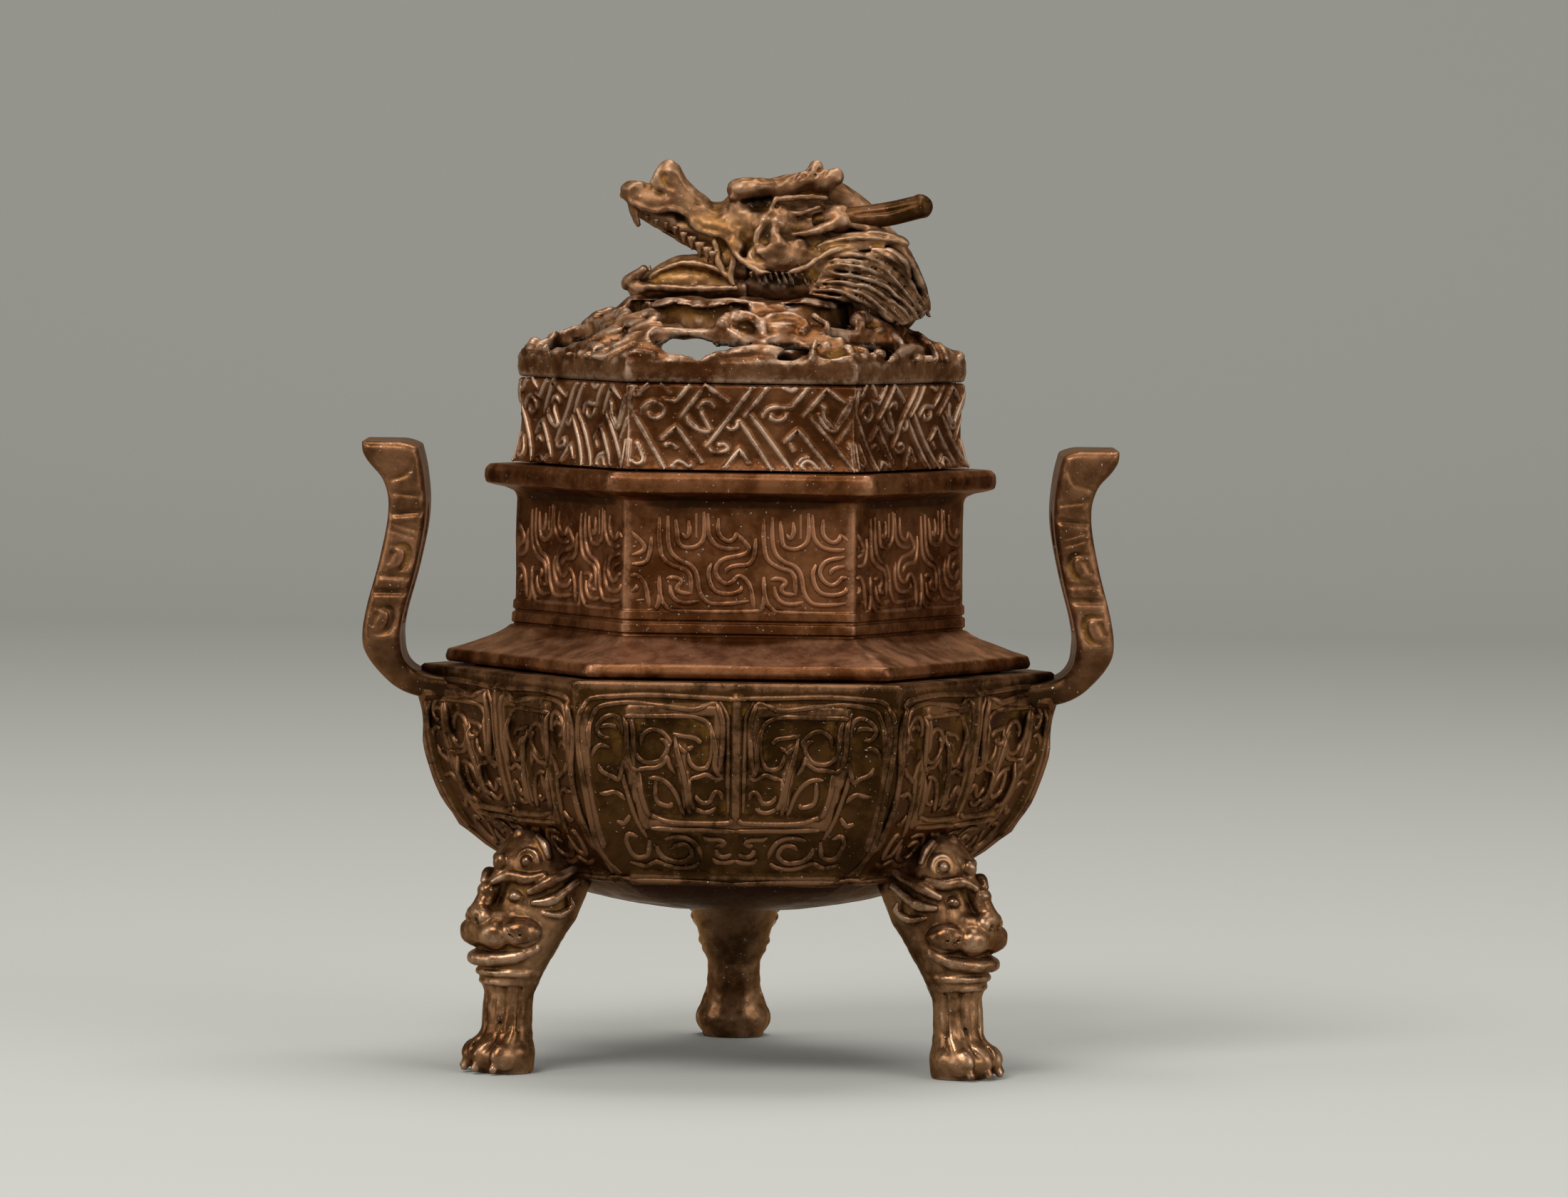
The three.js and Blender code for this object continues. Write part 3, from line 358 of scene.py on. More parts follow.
def line_tree():
    """Lays round lines on one face, over its bands, and repeats them round the axis."""
    tree, given, result = geometry_tree("Lines round six faces", **RELIEF_INPUTS, Radius="Float")
    path = node(tree, "GeometryNodeMeshToCurve", {"Mesh": raised(tree, given)})
    ring = {"Resolution": 7, "Radius": given["Radius"]}
    section = node(tree, "GeometryNodeCurvePrimitiveCircle", ring)
    sweep = {
        "Curve": path.outputs[0],
        "Profile Curve": section.outputs[0],
        "Scale": stored(tree, "girth"),
        "Fill Caps": True,
    }
    lines = repeated(tree, given, node(tree, "GeometryNodeCurveToMesh", sweep).outputs[0])
    spot = node(tree, "GeometryNodeInputPosition").outputs[0]
    arm = vector_maths(tree, "SUBTRACT", spot, given["Axis"])
    level = vector_maths(tree, "MULTIPLY", arm, (1.0, 1.0, 0.0))
    way = node(tree, "ShaderNodeVectorMath", {0: level}, operation="NORMALIZE").outputs[0]
    return cast(tree, given, result, lines, way)


def face_grid(name, profile, closed, columns, relief, loose, roundness):
    """The front one of six faces, as quads along a profile of corner radii and heights in millimetres.
    relief and loose give the share of the pattern and of the casting's wandering at a radius and height."""
    radius, height = profile.T
    u = np.linspace(-1, 1, columns + 1)
    turn = 1.5 * math.pi + np.arctan(u * math.tan(math.pi / 6))
    reach = radius[:, None] * six_sided(turn[None, :], roundness(height)[:, None])
    grid = np.stack([reach * np.cos(turn), reach * np.sin(turn), np.repeat(height[:, None], len(u), 1)], -1)
    rows = len(profile)
    along = np.gradient(grid, axis=0)
    across = np.gradient(grid, axis=1)
    out = np.cross(across, along)
    out /= np.maximum(np.linalg.norm(out, axis=-1, keepdims=True), 1e-9)
    half = np.abs(grid[:, -1:, 0])
    mask = relief(radius, height)[:, None] * smoothstep(half - np.abs(grid[..., 0]), 0.05, 0.5)
    index = np.arange(rows * len(u)).reshape(rows, -1)
    below = index if closed else index[:-1]
    above = np.roll(index, -1, 0) if closed else index[1:]
    faces = np.stack([below[:, :-1], below[:, 1:], above[:, 1:], above[:, :-1]], -1).reshape(-1, 4)
    made = new_object(name, grid.reshape(-1, 3), faces.tolist())
    panel = np.stack([grid[..., 0], grid[..., 2], np.zeros_like(reach)], -1)
    store(made.data, "panel", "FLOAT_VECTOR", panel.reshape(-1, 3) * MM)
    store(made.data, "out", "FLOAT_VECTOR", out.reshape(-1, 3))
    store(made.data, "relief", "FLOAT", mask)
    store(made.data, "loose", "FLOAT", np.repeat(loose(radius, height), len(u)))
    return made


def line_object(name, lines):
    """Lines of a pattern across and up a face, in millimetres, as edges."""
    points, edges = [], []
    for line in lines:
        start = len(points)
        points += [(u, v, 0) for u, v in line]
        edges += [(i, i + 1) for i in range(start, len(points) - 1)]
    made = new_object(name, points, [], edges)
    made.hide_render = True
    return made


def lines_on_face(name, lines, radius, roundness, sink, girths=None):
    """Lines laid on the front face of a wall that has those corner radii and that roundness by height.
    They lie a little deeper than its surface and get thinner towards their ends."""
    made = line_object(name, lines)
    u, z = np.concatenate(lines).T

    def depth(height):
        turn = np.zeros_like(u)
        for _ in range(6):
            reach = radius(height) * six_sided(1.5 * math.pi + turn, roundness(height))
            turn = np.arcsin(np.clip(u / reach, -0.9, 0.9))
        return reach * np.cos(turn)

    slope = (depth(z + 0.1) - depth(z - 0.1)) / 0.2
    out = np.stack([0 * u, -np.ones_like(u), -slope], 1) / np.hypot(1, slope)[:, None]
    points = np.stack([u, -depth(z), z], 1) - sink * out
    made.data.vertices.foreach_set("co", (points * MM).ravel())
    store(made.data, "panel", "FLOAT_VECTOR", np.stack([u, z, 0 * u], 1) * MM)
    store(made.data, "out", "FLOAT_VECTOR", out)
    store(made.data, "relief", "FLOAT", np.ones_like(u))
    store(made.data, "loose", "FLOAT", np.ones_like(u))
    steps = [np.arange(len(line)) for line in lines]
    ends = [np.minimum(1, 0.55 + 0.25 * np.minimum(step, step[::-1])) for step in steps]
    girths = girths or [1] * len(lines)
    store(made.data, "girth", "FLOAT", np.concatenate([g * e for g, e in zip(girths, ends)]))
    return made


def six_faces(made, tree, bands, band, material, **more):
    """Finishes one face, or its lines, as a whole ring of six.
    band = height, width and slope of the bands."""
    course = line_object(made.name + "_bands", bands)
    values = {
        "Bands": course,
        "Raise": band[0],
        "Half width": band[1] / 2,
        "Slope": band[2],
        "Unevenness": sizes().unevenness,
        "Sides": SIDES,
        "Axis": (0, AXIS_Y * MM, 0),
        "Material": material,
    }
    made.hide_render = False
    grown_by(made, tree, {**values, **more})
    bpy.data.objects.remove(course)
    for name in ("panel", "out", "relief", "loose", "girth"):
        layer = made.data.attributes.get(name)
        if layer:
            made.data.attributes.remove(layer)
    return made


def relief_ring(piece, slot, wall, lines, bands, band, line_width, tone=None):
    """Finishes a wall, which stands for its CAD node, and the lines on it. Both have the same bands."""
    body, finish = piece + "_body", bronze(piece)
    six_faces(wall, wall_tree(), bands, band, finish)
    finish_piece(wall, body, slot, finish, piece, tone=tone)
    six_faces(lines, line_tree(), bands, band, finish, Radius=line_width / 2)
    finish_piece(lines, body, slot, finish)


# Clay: shapes pressed together or carved, then given a skin


def ball(at, half, turn=0.0, tilt=0.0):
    """An egg shape. It is turned about +Z and then tilted nose up, in degrees."""
    at, half = np.array(at, float), np.broadcast_to(np.array(half, float), 3)
    c, s = math.cos(math.radians(turn)), math.sin(math.radians(turn))
    ct, st = math.cos(math.radians(tilt)), math.sin(math.radians(tilt))

    def distance(x, y, z):
        x, y, z = x - at[0], y - at[1], z - at[2]
        x, y = c * x + s * y, c * y - s * x
        x, z = ct * x + st * z, ct * z - st * x
        p = (x / half[0]) ** 2 + (y / half[1]) ** 2 + (z / half[2]) ** 2
        q = (x / half[0] ** 2) ** 2 + (y / half[1] ** 2) ** 2 + (z / half[2] ** 2) ** 2
        p = np.sqrt(p)
        return p * (p - 1) / np.maximum(np.sqrt(q), 1e-6)

    reach = half.max() if turn or tilt else half
    return at - reach, at + reach, distance


def strand(points, radii, flat=None, per_span=4):
    """A tapering rod along a smooth curve. flat = (direction, share) thins or thickens it that way."""
    path = smooth(points, per_span)
    radii = np.atleast_1d(np.array(radii, float))
    if len(radii) == 1:
        radii = np.repeat(radii, 2)
    radii = np.interp(np.linspace(0, 1, len(path)), np.linspace(0, 1, len(radii)), radii)
    reach = radii.max() * (max(1, flat[1]) if flat else 1)
    low, high = path.min(0) - reach, path.max(0) + reach
    squeeze = np.eye(3)
    if flat:
        way = np.array(flat[0], float) / np.linalg.norm(flat[0])
        squeeze += (1 / flat[1] - 1) * np.outer(way, way)
    line = path @ squeeze

    def distance(x, y, z):
        p = np.stack(np.broadcast_arrays(x, y, z), -1).astype(np.float32) @ squeeze.astype(np.float32)
        nearest = None
        for a, b, ra, rb in zip(line, line[1:], radii, radii[1:]):
            along = (b - a).astype(np.float32)
            t = np.clip(((p - a.astype(np.float32)) @ along) / max(along @ along, 1e-9), 0, 1)
            off = p - a.astype(np.float32) - t[..., None] * along
            d = np.linalg.norm(off, axis=-1) - (ra + (rb - ra) * t)
            nearest = d if nearest is None else np.minimum(nearest, d)
        return nearest * (min(1, flat[1]) if flat else 1)

    return low, high, distance


def largest_part(points, quads):
    """The biggest connected part of a skin, without crumbs and bubbles."""
    label = np.arange(len(points))
    while True:
        joined = label.copy()
        np.minimum.at(joined, quads.ravel(), np.repeat(label[quads].min(1), 4))
        joined = joined[joined]
        if (joined == label).all():
            break
        label = joined
    main = label == np.bincount(label).argmax()
    number = np.cumsum(main) - 1
    return points[main], number[quads[main[quads[:, 0]]]]


# What an empty block holds: far from any shape
FAR = 6.0


class Clay:
    """A block of signed distances, in millimetres."""

    def __init__(self, low, high, step):
        self.low, self.step = np.array(low, float), step
        counts = np.ceil((np.array(high, float) - self.low) / step).astype(int) + 1
        self.axes = [np.float32(self.low[k] + step * np.arange(counts[k])) for k in range(3)]
        self.field = np.full(counts, FAR, np.float32)

    def part(self, low, high, margin):
        """The part of the block round a box, and the places of its points."""
        cut = []
        for k in range(3):
            first = np.searchsorted(self.axes[k], low[k] - margin)
            last = np.searchsorted(self.axes[k], high[k] + margin)
            cut.append(slice(first, max(first, last)))
        x, y, z = (self.axes[k][cut[k]] for k in range(3))
        return tuple(cut), (x[:, None, None], y[None, :, None], z[None, None, :])

    def press(self, shape, soft=0.4):
        """Adds a shape, with a fillet of about that size where it meets the rest."""
        low, high, distance = shape
        cut, place = self.part(low, high, soft + 2 * self.step)
        here = self.field[cut]
        if here.size:
            other = distance(*place)
            blend = np.clip(0.5 + 0.5 * (here - other) / soft, 0, 1)
            self.field[cut] = here + (other - here) * blend - soft * blend * (1 - blend)

    def carve(self, shape, soft=0.15):
        """Takes a shape away."""
        low, high, distance = shape
        cut, place = self.part(low, high, soft + 2 * self.step)
        here = self.field[cut]
        if here.size:
            other = -distance(*place)
            blend = np.clip(0.5 - 0.5 * (here - other) / soft, 0, 1)
            self.field[cut] = here + (other - here) * blend + soft * blend * (1 - blend)

    def keep(self, distance):
        """Keeps only what lies inside a form, given over the whole block."""
        x, y, z = self.axes
        other = distance(x[:, None, None], y[None, :, None], z[None, None, :])
        self.field = np.maximum(self.field, other).astype(np.float32)

    def roughen(self, depth, reach):
        """Swells and dents of a given depth and reach, like a cast skin."""
        counts = [int((a[-1] - a[0]) / reach) + 3 for a in self.axes]
        swell = np.random.default_rng(11).uniform(-depth, depth, counts).astype(np.float32)
        for k, axis in enumerate(self.axes):
            at = (axis - axis[0]) / reach
            first = at.astype(int)
            share = (smoothstep(at - first, 0, 1)).reshape([-1 if k == j else 1 for j in range(3)])
            swell = np.take(swell, first, k) * (1 - share) + np.take(swell, first + 1, k) * share
        self.field += swell.astype(np.float32)

    def mirrored(self):
        """Adds the other half of a block that starts at y = 0."""
        self.field = np.concatenate([self.field[:, :0:-1], self.field], 1)
        self.axes[1] = np.concatenate([-self.axes[1][:0:-1], self.axes[1]])
        self.low[1] = self.axes[1][0]
        return self

    def skin(self, name, place):
        """The surface of the clay as an object, moved by a matrix in millimetres."""
        field = np.pad(self.field, 1, constant_values=FAR)
        inside = field < 0
        corners = [(i, j, k) for i in (0, 1) for j in (0, 1) for k in (0, 1)]
        counts = [n - 1 for n in field.shape]
        full = sum(
            inside[i : i + counts[0], j : j + counts[1], k : k + counts[2]].astype(np.int8)
            for i, j, k in corners
        )
        cells = np.argwhere((full > 0) & (full < 8))
        number = np.full(counts, -1, np.int64)
        number[tuple(cells.T)] = np.arange(len(cells))
        total, hits = np.zeros((len(cells), 3)), np.zeros(len(cells))
        for a in corners:
            for axis in range(3):
                if a[axis]:
                    continue
                b = tuple(v + (k == axis) for k, v in enumerate(a))
                va, vb = (field[tuple((cells + c).T)] for c in (a, b))
                cross = (va < 0) != (vb < 0)
                t = np.where(cross, va / np.where(cross, va - vb, 1), 0)
                spot = cells + np.array(a, float)
                spot[:, axis] += t
                total += spot * cross[:, None]
                hits += cross
        points = self.low + self.step * (total / hits[:, None] - 1)
        quads = []
        for axis in range(3):
            u, v = (axis + 1) % 3, (axis + 2) % 3
            first = np.take(inside, range(counts[axis]), axis)
            second = np.take(inside, range(1, counts[axis] + 1), axis)
            spots = np.argwhere(first != second)
            back = {k: np.eye(3, dtype=int)[k] for k in (u, v)}
            ring = [spots, spots - back[u], spots - back[u] - back[v], spots - back[v]]
            quad = np.stack([number[tuple(r.T)] for r in ring], 1)
            leaving = first[tuple(spots.T)]
            quads.append(np.where(leaving[:, None], quad, quad[:, ::-1]))
        points, quads = largest_part(points, np.vstack(quads))
        points = points @ np.array(place)[:3, :3].T + np.array(place)[:3, 3]
        return new_object(name, points, quads.tolist())


def placed(turn=0.0):
    """A turn in degrees about the axis of the stack."""
    return Matrix.Translation((0, AXIS_Y, 0)) @ Matrix.Rotation(math.radians(turn), 4, "Z")


# Patterns of the relief, across and up the front face in millimetres

# Height of the scrolls' foot, half the width they fill and where each repeat of their strokes starts
COLLAR_PANEL = 58.2
COLLAR_HALF_WIDTH = 13.4
COLLAR_STARTS = (-22.7, -9.79, 3.11)
COLLAR_UNIT = [
    [
        (0.91, 11.81), (1.01, 8.77), (1.48, 7.16), (2.62, 6.25), (3.57, 5.92), (4.33, 5.17), (4.71, 4.03),
        (4.9, 2.7), (5.47, 1.65), (6.32, 1.08), (8.32, 1.04), (11.07, 1.37),
    ],
    [
        (-0.13, 11.62), (-0.08, 8.77), (0.25, 6.87), (1.01, 6.02), (2.24, 5.45), (3.19, 5.17), (3.76, 4.41),
        (3.89, 3.27), (3.95, 2.13),
    ],
    [(11.83, 9.15), (11.74, 7.82), (11.45, 6.49), (10.79, 5.89), (9.46, 5.79), (8.41, 5.39), (8.13, 4.75)],
    [
        (9.36, 9.82), (10.22, 8.96), (10.98, 8.01), (10.69, 7.35), (9.46, 6.91), (8.13, 6.65), (7.27, 6.08),
        (6.89, 4.98), (7.37, 4.03), (8.32, 3.49), (9.08, 3.84), (9.55, 4.37), (10.22, 4.41), (10.98, 3.65),
        (11.39, 2.51), (11.58, 1.37), (11.74, 0.42),
    ],
    [
        (6.42, 6.02), (6.04, 4.98), (6.23, 3.65), (6.8, 2.7), (7.75, 2.32), (9.08, 2.32), (9.99, 2.7),
        (10.12, 3.27),
    ],
    [(5.85, 12.19), (6.0, 9.72), (6.61, 8.58), (7.56, 8.01), (8.89, 7.82), (9.87, 7.96)],
    [(7.18, 11.62), (7.18, 9.91), (7.75, 9.12), (8.51, 8.77), (9.12, 9.12), (9.36, 9.82)],
    [
        (5.37, 12.38), (5.47, 9.72), (5.09, 8.58), (4.14, 7.96), (3.1, 7.96), (2.34, 8.39), (2.09, 9.72),
        (1.9, 11.34),
    ],
    [(2.72, 9.72), (3.19, 9.19), (3.61, 9.91), (3.51, 11.24)],
    [(4.42, 12.19), (4.46, 9.15)],
    [
        (0, 4.41), (0.02, 2.89), (0.34, 1.37), (1.1, 0.42), (2.62, 0), (11.55, 0.09), (12.59, 0.42),
        (12.91, 1.37), (12.97, 2.51),
    ],
    [
        (0.82, 4.03), (1.58, 4.22), (2.43, 4.08), (2.68, 3.61), (2.24, 3.11), (2.34, 2.51), (3.19, 2.28),
        (3.85, 2.28),
    ],
    [(1.29, 3.27), (1.58, 1.94), (2.43, 1.22), (3.57, 1.06), (4.9, 1.33)],
]

GALLERY_BARS = [
    [(-13.29, 6.93), (-9.3, 0.04)],
    [(-9.68, 3.8), (-7.98, 5.37), (-4.84, 1.04)],
    [(-0.09, 5.98), (3.89, 0)],
    [(1.04, 7.03), (6.36, 0)],
    [(5.51, 3.61), (7.03, 5.13), (10.92, 0.38)],
    [(8.55, 6.65), (14.15, 0)],
    [(-6.36, 10.54), (-8.17, 8.41), (-9.5, 8.64)],
    [(-7.54, 6.46), (-4.46, 10.44), (-1.71, 8.64)],
    [(-6.74, 6.46), (-5.03, 4.84)],
    [(1.42, 10.35), (-4.18, 2.94)],
    [(3.32, 10.35), (0.47, 6.74)],
    [(8.26, 10.35), (6.17, 7.79)],
    [(7.79, 6.84), (10.54, 10.16), (12.72, 8.55)],
    [(13.58, 8.83), (11.49, 5.22), (10.25, 6.55), (9.97, 8.07)],
    [(-12.06, 7.41), (-11.01, 8.36)],
    [(-10.06, 10.63), (-8.83, 9.4)],
    [(-11.49, 10.63), (-12.91, 9.3)],
    [(-1.99, 0.28), (-0.13, 2.6), (0.95, 1.04)],
    [(-4.75, 6.36), (-3.7, 5.03)],
    [(-4.2, 8.3), (-3.6, 8.0)],
]
GALLERY_HOOKS = [
    [
        (-12.4, 7), (-12.2, 7.5), (-11.6, 8.1), (-10.8, 8.4), (-10, 8.1), (-9.5, 7.4), (-9.7, 6.7),
        (-10.4, 6.3), (-11.1, 6.4), (-11.5, 6.9),
    ],
    [(-6.7, 6.6), (-6.3, 5.6), (-5.1, 4.9), (-4.2, 4.7), (-3.9, 5.1), (-4.7, 6.5), (-4.9, 7.2)],
    [(-5.3, 7.8), (-4.7, 8.3), (-3.9, 8.4), (-3.4, 7.8)],
    [(2.7, 6.8), (3.3, 7.6), (4.3, 7.9), (5.3, 7.8), (6.2, 7.9)],
    [(3.6, 6.9), (3.8, 6.4), (4.6, 6.2), (5.3, 6.5), (5.6, 7.1)],
    [(9.6, 6.9), (10.1, 6), (10.9, 5.1), (11.7, 5.1), (12.1, 5.7)],
    [(9.8, 8.2), (10.2, 7.9), (10.4, 7.2)],
    [(-9.2, 3), (-8.6, 3.2), (-8, 2.8)],
    [(-8.4, 0.4), (-7.8, 1), (-7, 0.8), (-6.3, 0.3), (-6, 0.9)],
    [(-3.9, 2.7), (-3.4, 2.2), (-2.4, 2.2), (-1.6, 2.6), (-2, 3.2), (-2.6, 3.1)],
    [(-1.8, 5.4), (-1.2, 5), (-0.6, 5.3), (-0.4, 5.9)],
    [(6.1, 3.2), (6.5, 2.6)],
    [(7.1, 0.9), (7.6, 1.5), (8.2, 1.7)],
    [(7.8, 0.2), (7.5, 0.6), (8.1, 1.2), (8.9, 1), (9.6, 0.2)],
    [(-13.1, 10.3), (-13.4, 9.5), (-12.8, 9.1), (-11.6, 10.4)],
    [(5.3, 10.3), (6.1, 9.9), (6.7, 10.1)],
    [(-13.7, 3.4), (-13.9, 0.3)],
    [(-12.7, 3.1), (-12, 1.3), (-12.6, 0.6), (-13.3, 0.9)],
    [(13.7, 9), (13.2, 7.4), (12, 5.4)],
    [(13.6, 6.1), (12, 3.4)],
    [(13.5, 3.4), (13.9, 0.3)],
    [(-13.6, 7.3), (-13.7, 8.6), (-13.5, 10.2)],
]

# One half of the beast's mask on a bowl face: across from the middle and down from the rim
BOWL_STROKES = {
    "border": [
        [
            (15.1, 24.1), (17.1, 19.8), (17.9, 16.3), (18.5, 12.9), (19.1, 9.6), (19.4, 6.7), (19.3, 4.2),
            (18.8, 3.1), (17.9, 2.1), (15.1, 1.8), (10.9, 1.6), (5.5, 1.8), (1.8, 1.9), (0, 2),
        ],
        [
            (18, 8.1), (18.1, 5.7), (17.7, 4.4), (17.1, 3.3), (15.9, 2.8), (13.2, 2.5), (10.9, 2.7),
            (8.7, 2.9), (6.3, 3.2), (5, 3.2), (3.9, 2.8), (2.6, 2.5), (2.1, 3.4), (1.7, 5.1), (1.8, 8.7),
            (2.2, 11),
        ],
        [(14.4, 24.7), (10.3, 24.6), (5.5, 24.7), (0, 24.9)],
    ],
    "frame": [
        [
            (13.8, 4.2), (12.9, 4.1), (10.3, 4.1), (6.8, 4), (5, 4.2), (3.7, 4.8), (3, 5.9), (2.9, 7.4),
            (3.1, 9.4), (3.5, 10.3),
        ],
        [(2.7, 6.6), (2.5, 8.7), (2.6, 10.1), (2.2, 11.1), (1.6, 11.9)],
        [(13.8, 4.2), (13.5, 5.7), (13.4, 8.1), (13.2, 9.4), (12.8, 10.3)],
        [
            (11.9, 11), (11.8, 12.1), (11.6, 13.5), (11.2, 14.9), (10.7, 16.2), (10.2, 16.6), (9.3, 16.9),
            (7.7, 17.1), (5.5, 17.2), (3.1, 17.2), (0.8, 17.1), (0.4, 16.6),
        ],
        [(10.3, 17.9), (8.7, 17.9), (6.3, 18), (3.9, 18), (1.4, 18.1), (0, 18.2)],
        [(13.8, 11.4), (13.6, 12.6), (13.2, 13.9), (12.7, 15.5), (12.2, 16.8), (11.6, 18), (10.9, 19.3)],
        [(2.1, 2.3), (1.2, 4.2), (1.1, 5.7), (1, 10.4), (0.9, 16)],
    ],
    "upper curl": [
        [
            (13, 4.5), (12.7, 5.9), (12.6, 7.4), (12.4, 8.6), (12, 9.3), (11.3, 9.8), (10.3, 9.9),
            (9.3, 9.6), (8.6, 8.7), (8.4, 7.9), (8.8, 7.2), (9.4, 7),
        ],
        [(11.7, 7.8), (11.6, 6.7), (10.9, 6), (10, 5.8), (9, 6.2), (8.2, 7.2), (8.1, 7.9)],
        [
            (12.8, 10.3), (12.1, 10.8), (10.9, 10.6), (9.7, 10.5), (8.8, 9.8), (8.5, 9.1), (8.1, 10.3),
            (7.5, 11.2),
        ],
    ],
    "stem and hook": [
        [(7.6, 6.6), (7.1, 8.9), (6.4, 11.4), (6, 13.8), (5.6, 16.5)],
        [(7.8, 6.3), (6.6, 6.6), (5.1, 6.8), (4.5, 7.3), (4.3, 7.5)],
        [(7, 7.6), (6.4, 8.4), (5.9, 8.2), (5.3, 7.8)],
        [(6, 8.6), (5.7, 9.8), (5, 10.5), (4.1, 10.6), (3.5, 10.3), (3.2, 9.4)],
        [(5.7, 11.9), (4.5, 11.6), (3.7, 11.3), (2.9, 11.6), (2.1, 11.9), (1.7, 11.2)],
    ],
    "lower curl": [
        [
            (5, 13.9), (4.7, 14.5), (3.9, 14.9), (3.2, 14.7), (2.9, 14.1), (2.5, 13.5), (1.9, 13.6),
            (1.7, 14.4),
        ],
        [(5.7, 11.9), (5.8, 13.1), (5.5, 14.7), (5, 15.5), (4.1, 16), (3.2, 16), (2.4, 15.5)],
    ],
    "eye": [
        [(10.7, 11.9), (9.8, 11.8), (8.7, 12.2), (7.7, 13.2), (7, 14.5), (6.6, 15.7), (6.3, 16.5)],
        [(9.8, 11.8), (9.9, 13.6), (9.6, 14.8), (8.8, 15.2), (8, 15.3), (7.8, 14.8)],
    ],
    "ear": [
        [
            (14.1, 6.6), (13.9, 6.1), (14.1, 4.9), (14.8, 4.2), (15.8, 4.2), (16.7, 4.9), (17.1, 5.8),
            (16.9, 6.3), (16.4, 6.8), (15.6, 6.9),
        ],
        [(16.8, 5.7), (16.1, 5.4), (15.1, 5.4), (14.7, 5.9)],
        [(17.7, 9.2), (17.3, 8.3), (16.6, 7.8), (15.6, 8.1)],
        [(16.9, 10.2), (16.4, 11.1), (15.1, 11.7), (14.4, 12.1), (14, 10.8), (13.7, 9.4)],
    ],
    "claws": [
        [(16.7, 13.9), (15.7, 13.8), (14.9, 13.6), (14.1, 14), (13.6, 14.6)],
        [(12.9, 16.5), (13.4, 17.3), (13.8, 17.6), (14.6, 17.3)],
    ],
    "chin": [
        [
            (12, 19.3), (13, 18.9), (13.4, 19.6), (13.1, 20.6), (12.7, 21.4), (11.9, 22), (10.9, 21.8),
            (10.6, 21.2), (10.5, 19.6),
        ],
        [
            (9.7, 20.4), (9.3, 21.4), (8.4, 22.2), (7.1, 22.5), (6.1, 22.4), (5.4, 21.8), (5.3, 21.5),
            (5.5, 20.8), (6.2, 20.2), (7.1, 20.3), (7.7, 20.8),
        ],
        [(8.6, 19.6), (7.4, 19.2), (6.1, 19.3), (5, 20), (4.4, 21), (4.1, 21.9)],
        [(12.9, 22.6), (10.9, 23.1), (9.7, 22.5), (8.4, 22.9), (6.8, 23.3), (5.1, 23.1), (4.3, 22.5)],
    ],
    "teeth": [
        [(4, 19.2), (3.2, 19.5), (2.1, 19.5), (1.3, 19.9), (1.7, 20.3), (2.2, 20.1)],
        [(2.4, 20.8), (2.1, 21.5), (1.3, 21.8), (0.4, 21.4)],
        [(2.8, 22), (2.1, 22.5), (0.9, 22.5), (0, 22.3)],
    ],
}

# Its raised bands, as on the solid, in shares of half the face's width and of the bowl's height
BOWL_BANDS = [
    [(0.115, 0.345), (0.115, 0.113), (0.655, 0.113), (0.655, 0.33), (0.545, 0.577)],
    [(0, 0.577), (0.545, 0.577)],
    [(0.345, 0.27), (0.29, 0.5)],
    [(0.94, 0.12), (0.92, 0.4), (0.82, 0.66)],
    [(0, 0.81), (0.62, 0.81)],
    [(0, 0.07), (0, 0.577)],
]


def collar_lines():
    """Running scrolls, cut off at the edges of the face."""
    lines = []
    for start in COLLAR_STARTS:
        for stroke in COLLAR_UNIT:
            path = smooth(np.array(stroke) + (start, COLLAR_PANEL), 3)
            inside = np.abs(path[:, 0]) < COLLAR_HALF_WIDTH
            for run in np.split(np.arange(len(path)), np.flatnonzero(np.diff(inside)) + 1):
                if inside[run[0]] and len(run) > 1:
                    lines.append(path[run])
    return lines


def gallery_bars():
    """Straight bars of the fret."""
    return [np.array(bar) + (0, GALLERY_LEVEL) for bar in GALLERY_BARS]


def gallery_hooks():
    """Curved hooks between the bars."""
    return [smooth(hook, 3) + (0, GALLERY_LEVEL) for hook in GALLERY_HOOKS]


def mirrored_down(lines):
    """Both halves of a mask, with depths below the rim turned into heights."""
    down = [np.array(line, float) * (1, -1) + (0, RIM_LEVEL) for line in lines]
    return down + [line * (-1, 1) for line in down]


def bowl_lines():
    """Lines of the whole mask."""
    return mirrored_down([smooth(stroke, 3) for strokes in BOWL_STROKES.values() for stroke in strokes])


def bowl_bands():
    """Raised bands of the whole mask."""
    scale = (BOWL_RADIUS / 2, BOWL_HEIGHT)
    return mirrored_down([np.array(band) * scale for band in BOWL_BANDS])


# Sizes and finishes


def size(name, description, default):
    """A length in the panel."""
    return bpy.props.FloatProperty(
        name=name, description=description, default=default, min=0, unit="LENGTH", precision=5
    )


def tint(name, description, default):
    """A colour in the panel."""
    return bpy.props.FloatVectorProperty(
        name=name, description=description, default=default, subtype="COLOR", size=3, min=0, max=1
    )


